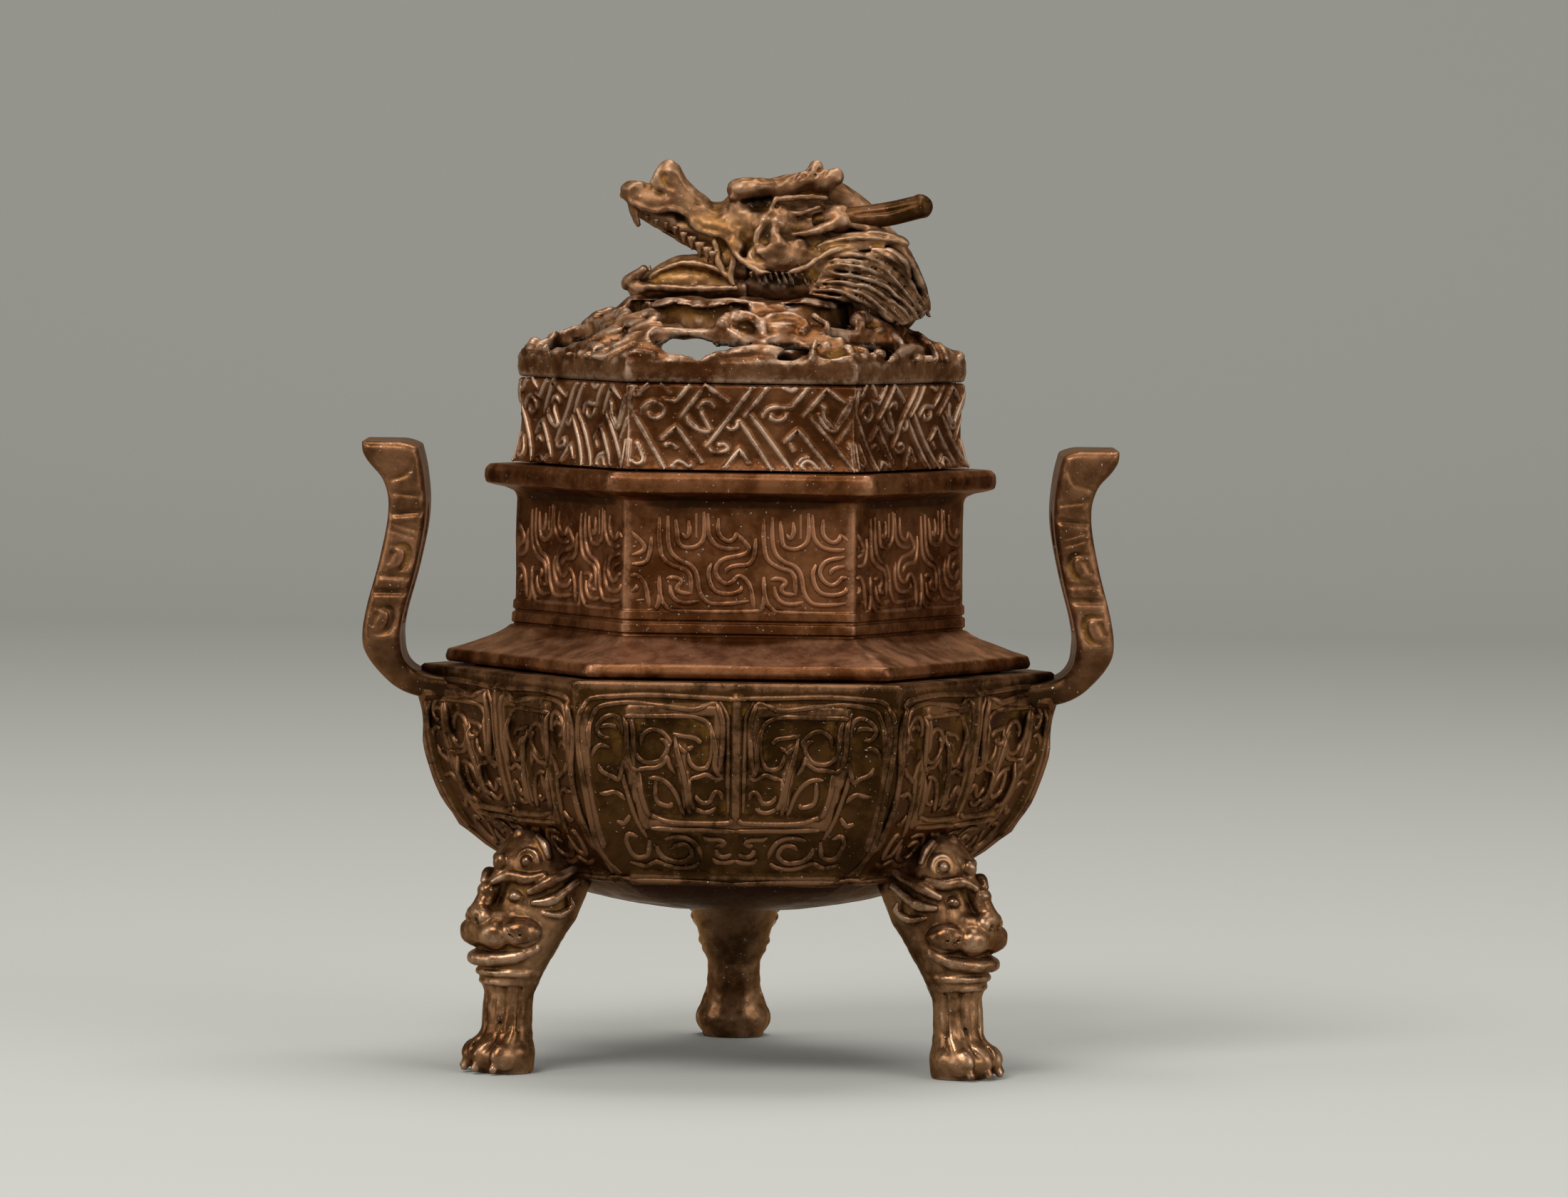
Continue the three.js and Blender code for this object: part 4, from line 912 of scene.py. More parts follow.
class BURNER_PG_sizes(bpy.types.PropertyGroup):
    """Sizes of the relief and of the modelling."""

    bowl_band: size("Bowl band", "Width of a raised band of the mask", 1.0 * MM)
    bowl_relief: size("Bowl relief", "How far the bands stand out of the bowl", 0.55 * MM)
    bowl_slope: size("Bowl slope", "Width of a band's slope", 0.3 * MM)
    bowl_line: size("Bowl line", "Width of a line of the mask", 0.82 * MM)
    collar_line: size("Collar line", "Width of a line of the scrolls", 0.78 * MM)
    gallery_relief: size("Gallery relief", "How far the fret's ground lies behind it", 0.22 * MM)
    gallery_bar: size("Gallery bar", "Width of a bar of the fret", 0.72 * MM)
    gallery_hook: size("Gallery hook", "Width of a hook of the fret", 0.62 * MM)
    unevenness: size("Unevenness", "How far the cast walls wander", 0.5 * MM)
    leg_grain: size("Leg grain", "Grain of the modelled legs", 0.2 * MM)
    lid_grain: size("Lid grain", "Grain of the modelled lid", 0.322 * MM)
    head_grain: size("Head grain", "Grain of the modelled head", 0.22 * MM)
    lens: bpy.props.FloatProperty(
        name="Lens", description="Focal length of the camera in millimetres", default=196.4
    )
    camera_distance: size("Camera distance", "From the camera to the burner", 1.0825)


class BURNER_PG_finishes(bpy.types.PropertyGroup):
    """Colours of the bronze and of the stage."""

    russet: tint("Russet", "Collar and gallery", (0.15, 0.058, 0.022))
    russet_deep: tint("Deep russet", "Darker patches of the collar, gallery and lid", (0.062, 0.018, 0.004))
    olive: tint("Olive brown", "Bowl", (0.07, 0.03, 0.0085))
    olive_deep: tint("Deep olive brown", "Darker patches of the bowl and horns", (0.026, 0.0105, 0.0018))
    umber: tint("Umber", "Handles, lid and rivets", (0.18, 0.083, 0.038))
    umber_deep: tint("Deep umber", "Horns, dark patches of legs, handles and rivets", (0.08, 0.033, 0.012))
    earth: tint("Earth brown", "Dragon and legs", (0.26, 0.135, 0.065))
    earth_deep: tint("Deep earth brown", "Darker patches of the dragon", (0.12, 0.055, 0.024))
    # Copper and tan colour worn edges and tops, partly as a painted highlight; copper also paints light on
    # the collar's slope
    copper: tint("Worn copper", "Edges that handling keeps bright", (0.46, 0.23, 0.125))
    tan: tint("Worn tan", "Tops of the relief", (0.42, 0.29, 0.2))
    ochre: tint("Ochre", "Earth left in the hollows", (0.25, 0.115, 0.022))
    # Soot colours dirt and also painted shade: in hollows, under the bowl, inside the dome, on the legs'
    # inner sides and where parts meet
    soot_and_shade: tint("Soot", "Dirt left in the deepest hollows", (0.012, 0.005, 0.0008))
    dust: tint("Dust", "Pale specks", (0.5, 0.46, 0.4))
    sheen: tint("Sheen", "Tint of what the bronze reflects", (0.75, 0.5, 0.32))
    floor: tint("Floor", "Floor and backdrop", (0.345, 0.345, 0.316))


def sizes():
    """Sizes as the scene has them."""
    return bpy.context.scene.burner_sizes


def finishes():
    """Colours as the scene has them."""
    return bpy.context.scene.burner_finishes


# Base colour, its darker patches, worn edges (also a painted highlight), hollows, light tone (earth, or
# painted light), roughness, share of wear and painted highlight, share of dirt
PATINAS = {
    "bowl": ("olive", "olive_deep", "copper", "ochre", "ochre", 0.34, 0.25, 0.5),
    "handle": ("umber", "umber_deep", "copper", "ochre", "ochre", 0.36, 0.25, 0.7),
    "leg": ("earth", "umber_deep", "tan", "ochre", "ochre", 0.26, 0.5, 0.35),
    "collar": ("russet", "russet_deep", "copper", "soot_and_shade", "copper", 0.4, 0.32, 0.6),
    "gallery": ("russet", "russet_deep", "tan", "soot_and_shade", "ochre", 0.42, 0.75, 0.6),
    "lid": ("umber", "russet_deep", "tan", "ochre", "ochre", 0.4, 0.5, 0.6),
    "dragon": ("earth", "earth_deep", "tan", "ochre", "ochre", 0.44, 0.4, 0.95),
    "horn": ("umber_deep", "olive_deep", "copper", "soot_and_shade", "ochre", 0.4, 0.12, 0.4),
    "rivet": ("umber", "umber_deep", "copper", "soot_and_shade", "ochre", 0.38, 0.5, 0.5),
}


def bronze(piece):
    """Old patinated bronze: patchy brown, worn on its edges with a painted highlight, with earth and
    painted shade in its hollows, painted light or shade from its tone, and dust on it.
    """
    name = piece + " patina"
    known = bpy.data.materials.get(name)
    if known:
        return known
    look = finishes()
    *colours, roughness, wear_and_highlight, dirt = PATINAS[piece]
    base, deep, worn, hollow, light = (getattr(look, colour) for colour in colours)
    material = bpy.data.materials.new(name)
    material.use_nodes = True
    tree = material.node_tree
    tree.nodes.clear()
    place = node(tree, "ShaderNodeTexCoord").outputs["Object"]

    def noise(scale, detail, rough):
        inputs = {"Vector": place, "Scale": scale, "Detail": detail, "Roughness": rough}
        return node(tree, "ShaderNodeTexNoise", inputs).outputs[0]

    def attribute(key):
        return node(tree, "ShaderNodeAttribute", attribute_name=key).outputs["Fac"]

    def ranged(value, low, high, to_low=0.0, to_high=1.0):
        inputs = {"Value": value, "From Min": low, "From Max": high, "To Min": to_low, "To Max": to_high}
        return node(tree, "ShaderNodeMapRange", inputs, interpolation_type="SMOOTHSTEP").outputs[0]

    def times(a, b):
        return maths(tree, "MULTIPLY", a, b)

    def plus(a, b):
        return maths(tree, "ADD", a, b)

    def mixed(share, a, b):
        made = node(tree, "ShaderNodeMix", data_type="RGBA")
        for key, value in ((0, share), (6, a), (7, b)):
            if isinstance(value, bpy.types.NodeSocket):
                tree.links.new(value, made.inputs[key])
            else:
                made.inputs[key].default_value = (*value, 1)
        return made.outputs[2]

    patches = noise(95.0, 5.0, 0.6)
    stains = noise(310.0, 4.0, 0.65)
    grain = noise(1500.0, 4.0, 0.7)
    specks = noise(2600.0, 1.0, 0.5)
    edge, pit, tone = map(attribute, ("worn", "sunk", "tone"))
    blotches = plus(times(patches, 0.55), times(stains, 0.45))
    colour = mixed(ranged(blotches, 0.4, 0.6), deep, base)
    # painted shade: the soot colour darkens hollows by their depth, partly as dirt
    colour = mixed(times(ranged(pit, 0.0, 0.5), 0.75), colour, look.soot_and_shade)
    loose = ranged(stains, 0.46, 0.62)
    colour = mixed(times(times(ranged(pit, 0.05, 0.5), loose), dirt), colour, hollow)
    # tone above 0: earth, or painted light on the collar's slope
    lit = times(ranged(tone, 0.0, 1.0), ranged(stains, 0.3, 0.6, 0.5, 1.0))
    colour = mixed(lit, colour, light)
    # tone below 0: soot and painted shade
    colour = mixed(ranged(times(tone, -1.0), 0.0, 1.0), colour, look.soot_and_shade)
    # worn edges, partly a painted highlight
    handled_and_highlit = times(edge, ranged(blotches, 0.4, 0.62, 0.4, 1.2))
    rubbed_and_highlit = plus(handled_and_highlit, times(plus(grain, -0.5), 1.1))
    colour = mixed(times(ranged(rubbed_and_highlit, 0.2, 1.0), wear_and_highlight), colour, worn)
    colour = mixed(times(ranged(specks, 0.735, 0.77), 0.6), colour, look.dust)
    rough = ranged(stains, 0.3, 0.7, roughness - 0.08, roughness + 0.1)
    rough = plus(rough, times(ranged(pit, 0.0, 0.8), 0.2))
    pits = plus(times(grain, 0.6), times(stains, 0.8))
    bump = node(tree, "ShaderNodeBump", {"Strength": 0.5, "Distance": 0.14 * MM, "Height": pits})
    shader = node(
        tree,
        "ShaderNodeBsdfPrincipled",
        {
            "Base Color": colour,
            "Metallic": 0.8,
            "Roughness": rough,
            "Normal": bump.outputs[0],
            "Specular IOR Level": 0.35,
            "Specular Tint": (*look.sheen, 1),
        },
    )
    out = node(tree, "ShaderNodeOutputMaterial", {"Surface": shader.outputs[0]})
    out.is_active_output = True
    return material


# Bowl, collar and gallery

# Walls and corner radii in millimetres; the drum is the upright wall of collar and gallery
BOWL_WALL = 2.4
BOWL_HEIGHT = BOWL[1][2] - BOWL[0][2]
BOWL_RADIUS = BOWL[1][0]
MOUTH_RADIUS = BOWL_RADIUS - 6.5
DRUM_RADIUS = 28.2
DRUM_WALL = 2.2
LEDGE_RADIUS = 32.3
LIP_WALL = 1.8
LIP_DEPTH = 3


def bowl_radius(height):
    """Corner radius of the bowl's outside, by the same rule as its solid."""
    share = np.clip((RIM_LEVEL - height) / BOWL_HEIGHT, 0, 1)
    return BOWL_RADIUS * (1 - 0.046 * share) * (1 - share**3.4) ** (1 / 2.2)


def bowl_roundness(height):
    """How far the six sides turn into a circle towards the bowl's foot."""
    return smoothstep(RIM_LEVEL - height, 20, BOWL_HEIGHT)


def outside_bowl(x, y, z, corner_turn):
    """Distance from the bowl's outside, with its first corner turned by that many degrees."""
    turn = np.arctan2(y, x) - math.radians(corner_turn)
    reach = bowl_radius(z) * six_sided(turn, bowl_roundness(z))
    slope = np.clip((z - BOWL[0][2]) / 12, 0.25, 1)
    return (np.hypot(x, y) - reach) * slope


def bowl_tone(x, y, z):
    """Painted shade on the underside, and darker inside."""
    inside = (outside_bowl(x, y, z, 0) < -1.2) & (z < RIM_LEVEL - 0.6)
    return -np.maximum(smoothstep(RIM_LEVEL - z, 23, 27), 0.8 * inside)


class BURNER_OT_bowl(bpy.types.Operator):
    """Six-sided bowl with a beast's mask in relief on each face"""

    bl_idname = "burner.bowl"
    bl_label = "Bowl"

    def execute(self, context):
        base = BOWL[0][2]
        floor = base + BOWL_WALL
        heights = np.clip(base + BOWL_HEIGHT * np.linspace(0, 0.98, 92), base, RIM_LEVEL - 0.5)
        side = np.stack([bowl_radius(heights), heights], 1)[2:]
        rim = [
            (BOWL_RADIUS, RIM_LEVEL - 0.3),
            (BOWL_RADIUS - 0.4, RIM_LEVEL),
            (MOUTH_RADIUS + 0.4, RIM_LEVEL),
            (MOUTH_RADIUS, RIM_LEVEL - 0.4),
            (MOUTH_RADIUS, RIM_LEVEL - 1.8),
        ]
        below_rim = [(r - BOWL_WALL, z) for r, z in side[::-5] if z < RIM_LEVEL - 2.2]
        inner = [(r, max(z, floor + 0.2)) for r, z in below_rim if r > 4]
        roof = (inner[0][0], RIM_LEVEL - 1.8)
        outline = np.array([(0, base), *side, *rim, roof, *inner, (0, floor)])
        low, high = RIM_LEVEL - 25.6, RIM_LEVEL - 0.8

        def on_face(radius, height):
            return (radius > bowl_radius(height) - 0.8) & (height > low) & (height < high)

        def relief(radius, height):
            return on_face(radius, height) * between(height, low, high, 0.4)

        def loose(radius, height):
            outside = radius > bowl_radius(height) - 0.8
            return outside * smoothstep(-height, -RIM_LEVEL, 2 - RIM_LEVEL)

        fine, coarse, columns = 0.42, 2.2, 106
        profile = resampled(outline, lambda r, z: fine if on_face(r, z) else coarse, False)
        wall = face_grid("bowl_relief", profile, False, columns, relief, loose, bowl_roundness)
        lines = lines_on_face("bowl_mask_lines", bowl_lines(), bowl_radius, bowl_roundness, sink=0.02)
        given = sizes()
        band = given.bowl_relief, given.bowl_band, given.bowl_slope
        relief_ring("bowl", "bowl_bronze", wall, lines, bowl_bands(), band, given.bowl_line, bowl_tone)
        return {"FINISHED"}


class BURNER_OT_collar(bpy.types.Operator):
    """Collar with a flared skirt, grooves, running scrolls and a projecting ledge"""

    bl_idname = "burner.collar"
    bl_label = "Collar"

    def execute(self, context):
        skirt, wall, ledge = COLLAR[1][0], DRUM_RADIUS, LEDGE_RADIUS
        base, top = COLLAR_LEVEL, COLLAR[1][2]
        foot = base + 4.75
        lip = MOUTH_RADIUS - CLEARANCE
        bore = wall - DRUM_WALL
        hem = [(-0.35, 0), (0, 0.6), (-0.35, 1.6), (-2.4, 2.2)]
        slope = [(4.4, -1.8), (2.4, -1.1), (1.2, -0.5), (0.55, 0)]
        grooves = [
            *((0.1, 0.05), (0.1, 0.35), (0.4, 0.45), (0.35, 1.6), (0, 1.7)),
            *((0, 2.0), (0.28, 2.1), (0.25, 3.1), (0.05, 3.25), (0, 3.4)),
        ]
        corbel = [(0, 4.2), (0.3, 3.5), (1.4, 3.0)]
        edge = [(-1.2, 2.7), (-0.2, 2.4), (0, 1.6), (-0.1, 0.6), (-0.7, 0)]
        inside = [
            (bore, top),
            (bore, foot + 2),
            (lip - LIP_WALL, base + 1.7),
            (lip - LIP_WALL, base - LIP_DEPTH),
            (lip, base - LIP_DEPTH),
        ]
        outline = [
            (lip, base),
            *((skirt + r, base + z) for r, z in hem),
            *((wall + r, foot + z) for r, z in slope + grooves),
            *((wall + r, top - z) for r, z in corbel),
            *((ledge + r, top - z) for r, z in edge),
            *inside,
        ]

        def on_face(radius, height):
            return (abs(radius - wall) < 0.3) & (height > foot + 3.4) & (height < top - 3.6)

        face_step, moulding_step, inside_step, columns = 0.6, 0.35, 2.5, 60

        def spacing(radius, height):
            if on_face(radius, height):
                return face_step
            return moulding_step if radius > wall - 1 else inside_step

        def loose(radius, height):
            return (radius > wall - 1) * between(height, base, top, 1)

        def drum_radius(height):
            return wall + 0 * height

        # painted light: the skirt's rising slope gets the lighter copper tone, as where light falls on it
        def painted_light_on_slope(x, y, z):
            rise = smoothstep(z, base + 1.4, base + 1.8) * smoothstep(-z, -foot - 0.2, 0.6 - foot)
            return 0.5 * rise * smoothstep(np.hypot(x, y), 25.5, 27)

        profile = resampled(softened(outline, 0.28, True), spacing, True)
        plain = face_grid("collar_relief", profile, True, columns, lambda r, z: 0 * z, loose, np.zeros_like)
        lines = lines_on_face("collar_scrolls", collar_lines(), drum_radius, np.zeros_like, sink=0.04)
        no_band = (0, 0, 1)
        width = sizes().collar_line
        relief_ring("collar", "collar_bronze", plain, lines, [], no_band, width, painted_light_on_slope)
        return {"FINISHED"}


class BURNER_OT_gallery(bpy.types.Operator):
    """Gallery with a slanting fret on each face"""

    bl_idname = "burner.gallery"
    bl_label = "Gallery"

    def execute(self, context):
        wall, top, base = DRUM_RADIUS, GALLERY[1][2], GALLERY_LEVEL
        lip = DRUM_RADIUS - DRUM_WALL - CLEARANCE
        bore = wall - 0.5 - DRUM_WALL
        hollow = [(0.7, 0), (0.35, 0.6), (-0.05, 1.6), (-0.4, 3.6), (-0.5, 5.4), (-0.4, 7.2), (-0.15, 9)]
        side = [*((wall + r, base + z) for r, z in hollow), (wall, top - 0.3)]
        inside = [
            (wall - 0.4, top),
            (bore, top),
            (bore, base + 2.2),
            (lip - LIP_WALL, base),
            (lip - LIP_WALL, base - LIP_DEPTH),
            (lip, base - LIP_DEPTH),
        ]

        def on_face(radius, height):
            near = (radius > wall - 0.8) & (radius < wall + 0.65)
            return near & (height > base + 0.1) & (height < top - 0.2)

        def relief(radius, height):
            return on_face(radius, height) * between(height, base, top, 0.4)

        def loose(radius, height):
            return (radius > wall - 1) * between(height, base, top, 1)

        def side_radius(height):
            radii, heights = np.transpose(side)
            return np.interp(height, heights, radii)

        profile = softened([(lip, base), *side, *inside], 0.2, True)
        fine, coarse, bar_step, columns = 0.21, 2.5, 0.8, 120
        profile = resampled(profile, lambda r, z: fine if on_face(r, z) else coarse, True)
        ground = face_grid("gallery_relief", profile, True, columns, relief, loose, np.zeros_like)
        given = sizes()
        bars, hooks = gallery_bars(), gallery_hooks()
        girths = [1] * len(bars) + [given.gallery_hook / given.gallery_bar] * len(hooks)
        fret = [resampled(bar, lambda u, v: bar_step, False) for bar in bars] + hooks
        lines = lines_on_face("gallery_fret", fret, side_radius, np.zeros_like, 0.12, girths)
        band = given.gallery_relief, 0.6 * given.gallery_bar, 0.4 * given.gallery_bar
        relief_ring("gallery", "collar_bronze", ground, lines, bars + hooks, band, given.gallery_bar)
        return {"FINISHED"}


# Legs: x is the distance from the axis, y sideways, z up; only y above 0 is modelled


def ring_round(at, way, radius, thickness):
    """A thin ring about a direction."""
    way = np.array(way, float) / np.linalg.norm(way)
    side = np.cross(way, (0, 0, 1.0))
    side /= np.linalg.norm(side)
    up = np.cross(side, way)
    turn = np.linspace(0, 2 * math.pi, 13)[:, None]
    return strand(np.array(at) + radius * (np.cos(turn) * side + np.sin(turn) * up), thickness, per_span=2)


def leg_limb(clay):
    """Shank and thigh."""
    press = clay.press
    wide = ((0, 1, 0), 1.14)
    shank = [(32.7, 0, 1), (32.5, 0, 6), (32.3, 0, 10), (32.2, 0, 13.5)]
    press(strand(shank, [3.5, 3.05, 3.0, 3.5], wide), 0.5)
    thigh = [(32.0, 0, 13), (31.0, 0, 17), (28.6, 0, 21.5), (26, 0, 26), (24.6, 0, 30)]
    press(strand(thigh, [3.7, 4.9, 5.4, 5.0, 3.6], wide), 1.0)
    press(ball((29.3, 0, 25), (4.3, 5.5, 5.4)), 1.2)


def leg_paw(clay):
    """Paw with toes, sinews and claws, and the flutes of the shank above it."""
    press, carve = clay.press, clay.carve
    press(ball((33.5, 0, 2.5), (4.2, 4.6, 2.7)), 0.8)
    for y, x, rise in ((1.3, 36.0, 9.5), (3.7, 34.8, 8.5)):
        press(ball((x, y, 2.25), (1.95, 1.22, 1.75)), 0.25)
        sinew = [(x - 0.4, y, 3.2), (x - 1.6, 0.86 * y, 5.6), (x - 1.2 - 0.12 * y, 0.72 * y, rise)]
        press(strand(sinew, [0.85, 0.62, 0.36]), 0.3)
        press(strand([(x + 1.2, y, 1.5), (x + 1.7, 1.04 * y, 0.75)], [0.62, 0.5]), 0.15)
    carve(strand([(37.8, 2.55, 2.6), (35.8, 2.5, 4.1), (34.5, 2.0, 6.5)], [0.3, 0.28, 0.2]), 0.25)
    middle_cleft = [(38.1, 0, 2.6), (36.6, 0, 4.0), (35.3, 0, 6.5), (35.3, 0, 10)]
    carve(strand(middle_cleft, [0.3, 0.28, 0.22, 0.15]), 0.25)
    for y, x in ((1.5, 35.3), (2.7, 34.3), (3.5, 32.6)):
        carve(strand([(x + 0.3, y, 5.4), (x, y, 8.5), (x, y, 11.4)], [0.2, 0.34, 0.24]), 0.25)


def leg_muzzle(clay):
    """Bands under the chin, then the chin, the lips and the muzzle with its whiskers."""
    press, carve = clay.press, clay.carve
    turn = np.radians(np.linspace(0, 118, 8))
    for z, out, thick in ((11.4, 3.35, 0.4), (12.6, 3.7, 0.5)):
        band = np.stack([32.2 + out * np.cos(turn), 1.12 * out * np.sin(turn), np.full(8, z)], 1)
        press(strand(band, thick), 0.2)
    press(ball((33.7, 0, 14.4), (3.3, 3.9, 1.5)), 0.5)
    lower_lip = [(36.9, 0, 14.3), (36.1, 2.2, 14.3), (33.8, 4.3, 14.7), (31.4, 5.2, 15.8)]
    press(strand(lower_lip, [0.85, 0.85, 0.8, 0.5]), 0.3)
    press(ball((34.4, 0, 18.2), (3.2, 4.3, 2.7)), 0.7)
    press(ball((35.6, 2.4, 17.5), (2.1, 2.3, 1.9)), 0.4)
    press(ball((33.3, 4.8, 17.8), (2.5, 1.5, 1.8), -28), 0.4)
    press(ball((36.6, 0, 20.0), (1.3, 2.2, 1.15)), 0.35)
    press(ball((36.6, 1.6, 19.5), (1.0, 0.85, 0.85)), 0.2)
    carve(ball((37.6, 0.95, 19.1), (0.5, 0.42, 0.36)), 0.15)
    carve(strand([(37.7, 0, 18.4), (37.9, 0, 16.4)], 0.22), 0.2)
    mouth = [(38.2, 0, 15.6), (37.1, 2.6, 15.6), (34.6, 5.0, 15.9), (31.8, 6.2, 16.9)]
    carve(strand(mouth, [0.35, 0.35, 0.32, 0.2]), 0.25)
    carve(strand([(36.2, 3.3, 19.6), (34.5, 4.8, 19.6), (32.6, 5.8, 20.1)], [0.3, 0.35, 0.25]), 0.3)
    for k in range(4):
        back = 0.95 * k
        whisker = [(37.0 - back, 3.2 + 0.8 * k, 18.0), (36.6 - back, 3.9 + 0.8 * k, 17.0)]
        carve(strand(whisker, 0.16), 0.12)


def leg_brows(clay):
    """Bridge of the nose with a pearl above it, eyes, brows and the curls of the forehead."""
    press, carve = clay.press, clay.carve
    press(strand([(36.3, 0, 20.6), (35.2, 0, 22.4), (33.4, 0, 24.8)], [1.3, 1.2, 1.1]), 0.4)
    press(ball((35.6, 0, 22.8), (1.1, 1.3, 1.1)), 0.15)
    press(ball((33.6, 0, 26.1), (1.05, 1.05, 1.25)), 0.12)
    carve(ball((34.0, 3.4, 22.4), (1.2, 1.3, 0.8)), 0.3)
    press(ball((33.2, 3.3, 22.2), (1.0, 0.95, 0.75)), 0.2)
    brow = [(35.3, 1.2, 23.9), (34.0, 2.6, 24.7), (32.2, 4.4, 24.4), (30.6, 5.5, 24.9)]
    press(strand(brow, [0.5, 0.75, 0.75, 0.5]), 0.25)
    press(ball((31.9, 3.6, 26.5), (0.85, 0.85, 0.85)), 0.1)
    press(ring_round((31.7, 3.55, 26.5), (0.8, 0.6, 0.15), 1.4, 0.38), 0.15)
    press(ball((30.8, 0, 29.3), (1.2, 1.1, 1.1)), 0.15)
    press(ball((30.6, 2.1, 28.7), (0.95, 0.9, 0.85)), 0.15)
    press(strand([(30.2, 3.2, 29.6), (29.9, 4.6, 28.6), (29.8, 5.4, 27.2)], [0.4, 0.6, 0.45]), 0.25)


def leg_ears(clay):
    """Ears along the cheek, with a curl below."""
    press, carve = clay.press, clay.carve
    press(strand([(32.2, 4.9, 22.9), (30.0, 6.2, 24.2), (26.6, 6.6, 25.8)], [0.5, 0.8, 0.5]), 0.25)
    press(strand([(31.8, 5.3, 21.5), (29.5, 6.4, 22.0), (26.4, 6.7, 24.2)], [0.45, 0.7, 0.4]), 0.25)
    carve(strand([(31.2, 6.2, 22.4), (29.4, 7.1, 23.2), (27.4, 7.3, 24.4)], [0.3, 0.42, 0.25]), 0.15)
    curl = [(30.6, 5.9, 20.2), (28.6, 6.3, 20.0), (27.0, 6.5, 21.0), (27.2, 6.6, 22.0)]
    press(strand(curl, [0.35, 0.5, 0.45, 0.3]), 0.2)


def leg_clay(step):
    """A lion's leg, from the paw up to the mask that holds the bowl."""
    clay = Clay((19.5, 0, -0.6), (40.5, 8.2, 33), step)
    for model in (leg_limb, leg_paw, leg_muzzle, leg_brows, leg_ears):
        model(clay)
    clay.roughen(0.06, 0.9)
    clay.keep(lambda x, y, z: np.maximum(-z, -0.45 - outside_bowl(x, y, z, 30)))
    return clay.mirrored()


class BURNER_OT_legs(bpy.types.Operator):
    """Three legs, each a lion's mask over a fluted shank and a paw"""

    bl_idname = "burner.legs"
    bl_label = "Legs"

    def execute(self, context):
        clay = leg_clay(sizes().leg_grain / MM)

        # painted shade on the side of each leg that faces the axis, under the bowl
        def painted_shade_inside_legs(x, y, z):
            middle = np.interp(z, (13, 30), (32.2, 24.6))
            return -0.35 * smoothstep(middle - np.hypot(x, y), 0.5, 2.5)

        for name, turn in LEG_TURNS.items():
            made = clay.skin(name.replace("leg", "lion_leg"), placed(turn))
            finish_piece(made, "bowl_body", "leg_bronze", bronze("leg"), name, tone=painted_shade_inside_legs)
        return {"FINISHED"}


# Handles: x out, y along the loop's width, z up

# Grain of the modelled handles
HANDLE_GRAIN = 0.22

# Middle of the bar, out from the axis and up, from the root to the tip
HANDLE_LINE = [
    (33.4, 47), (38.6, 47.3), (41.9, 48.3), (44, 50.4), (44.75, 53.4), (44.3, 57), (42.8, 62.8), (41.7, 69),
    (42, 74), (42.95, 77.9),
]


def along_line(line, px, pz):
    """Distance of points from a line, below 0 on its left, and their share of the way along it."""
    near, side, along = np.full(px.shape, 99.0), np.zeros(px.shape), np.zeros(px.shape)
    for i, (a, b) in enumerate(zip(line, line[1:])):
        way = b - a
        t = np.clip(((px - a[0]) * way[0] + (pz - a[1]) * way[1]) / (way @ way), 0, 1)
        d = np.hypot(px - a[0] - t * way[0], pz - a[1] - t * way[1])
        closer = d < near
        near = np.where(closer, d, near)
        side = np.where(closer, np.sign((px - a[0]) * way[1] - (pz - a[1]) * way[0]) * d, side)
        along = np.where(closer, (i + t) / (len(line) - 1), along)
    return side, along


def handle_grooves(clay, rising, face):
    """Grooves and curls on the side faces of the loop's rising part."""

    def on_side(points):
        return [(np.interp(h, rising[:, 1], rising[:, 0]) + u, face, h) for u, h in points]

    grooves = [(71.7, 0.3, 0.3), (69.3, -0.2, 0.45), (61.4, 0.1, 0.4), (59.4, 0, 0.5), (52.6, -0.2, 0.35)]
    for h, slant, girth in grooves:
        clay.carve(strand(on_side([(-2.6, h - slant), (0, h), (2.6, h + slant)]), girth), 0.3)
    for h in (66.6, 67.5):
        clay.carve(strand(on_side([(-1.2, h - 0.3), (1.5, h + 0.5)]), 0.26), 0.2)
    for h in (63.6, 55.8):
        hook = [(1.1, h + 1.6), (-0.5, h + 1.5), (-1.2, h + 0.2), (-0.7, h - 1.3), (0.6, h - 1.7)]
        clay.carve(strand(on_side(hook), [0.35, 0.55, 0.6, 0.5, 0.3]), 0.3)
        clay.carve(strand(on_side([(0.9, h + 0.7), (1.2, h - 0.6)]), [0.45, 0.3]), 0.25)
    clay.carve(strand(on_side([(-1.4, 75.9), (-0.3, 74.2), (1.7, 73.5)]), 0.32), 0.2)


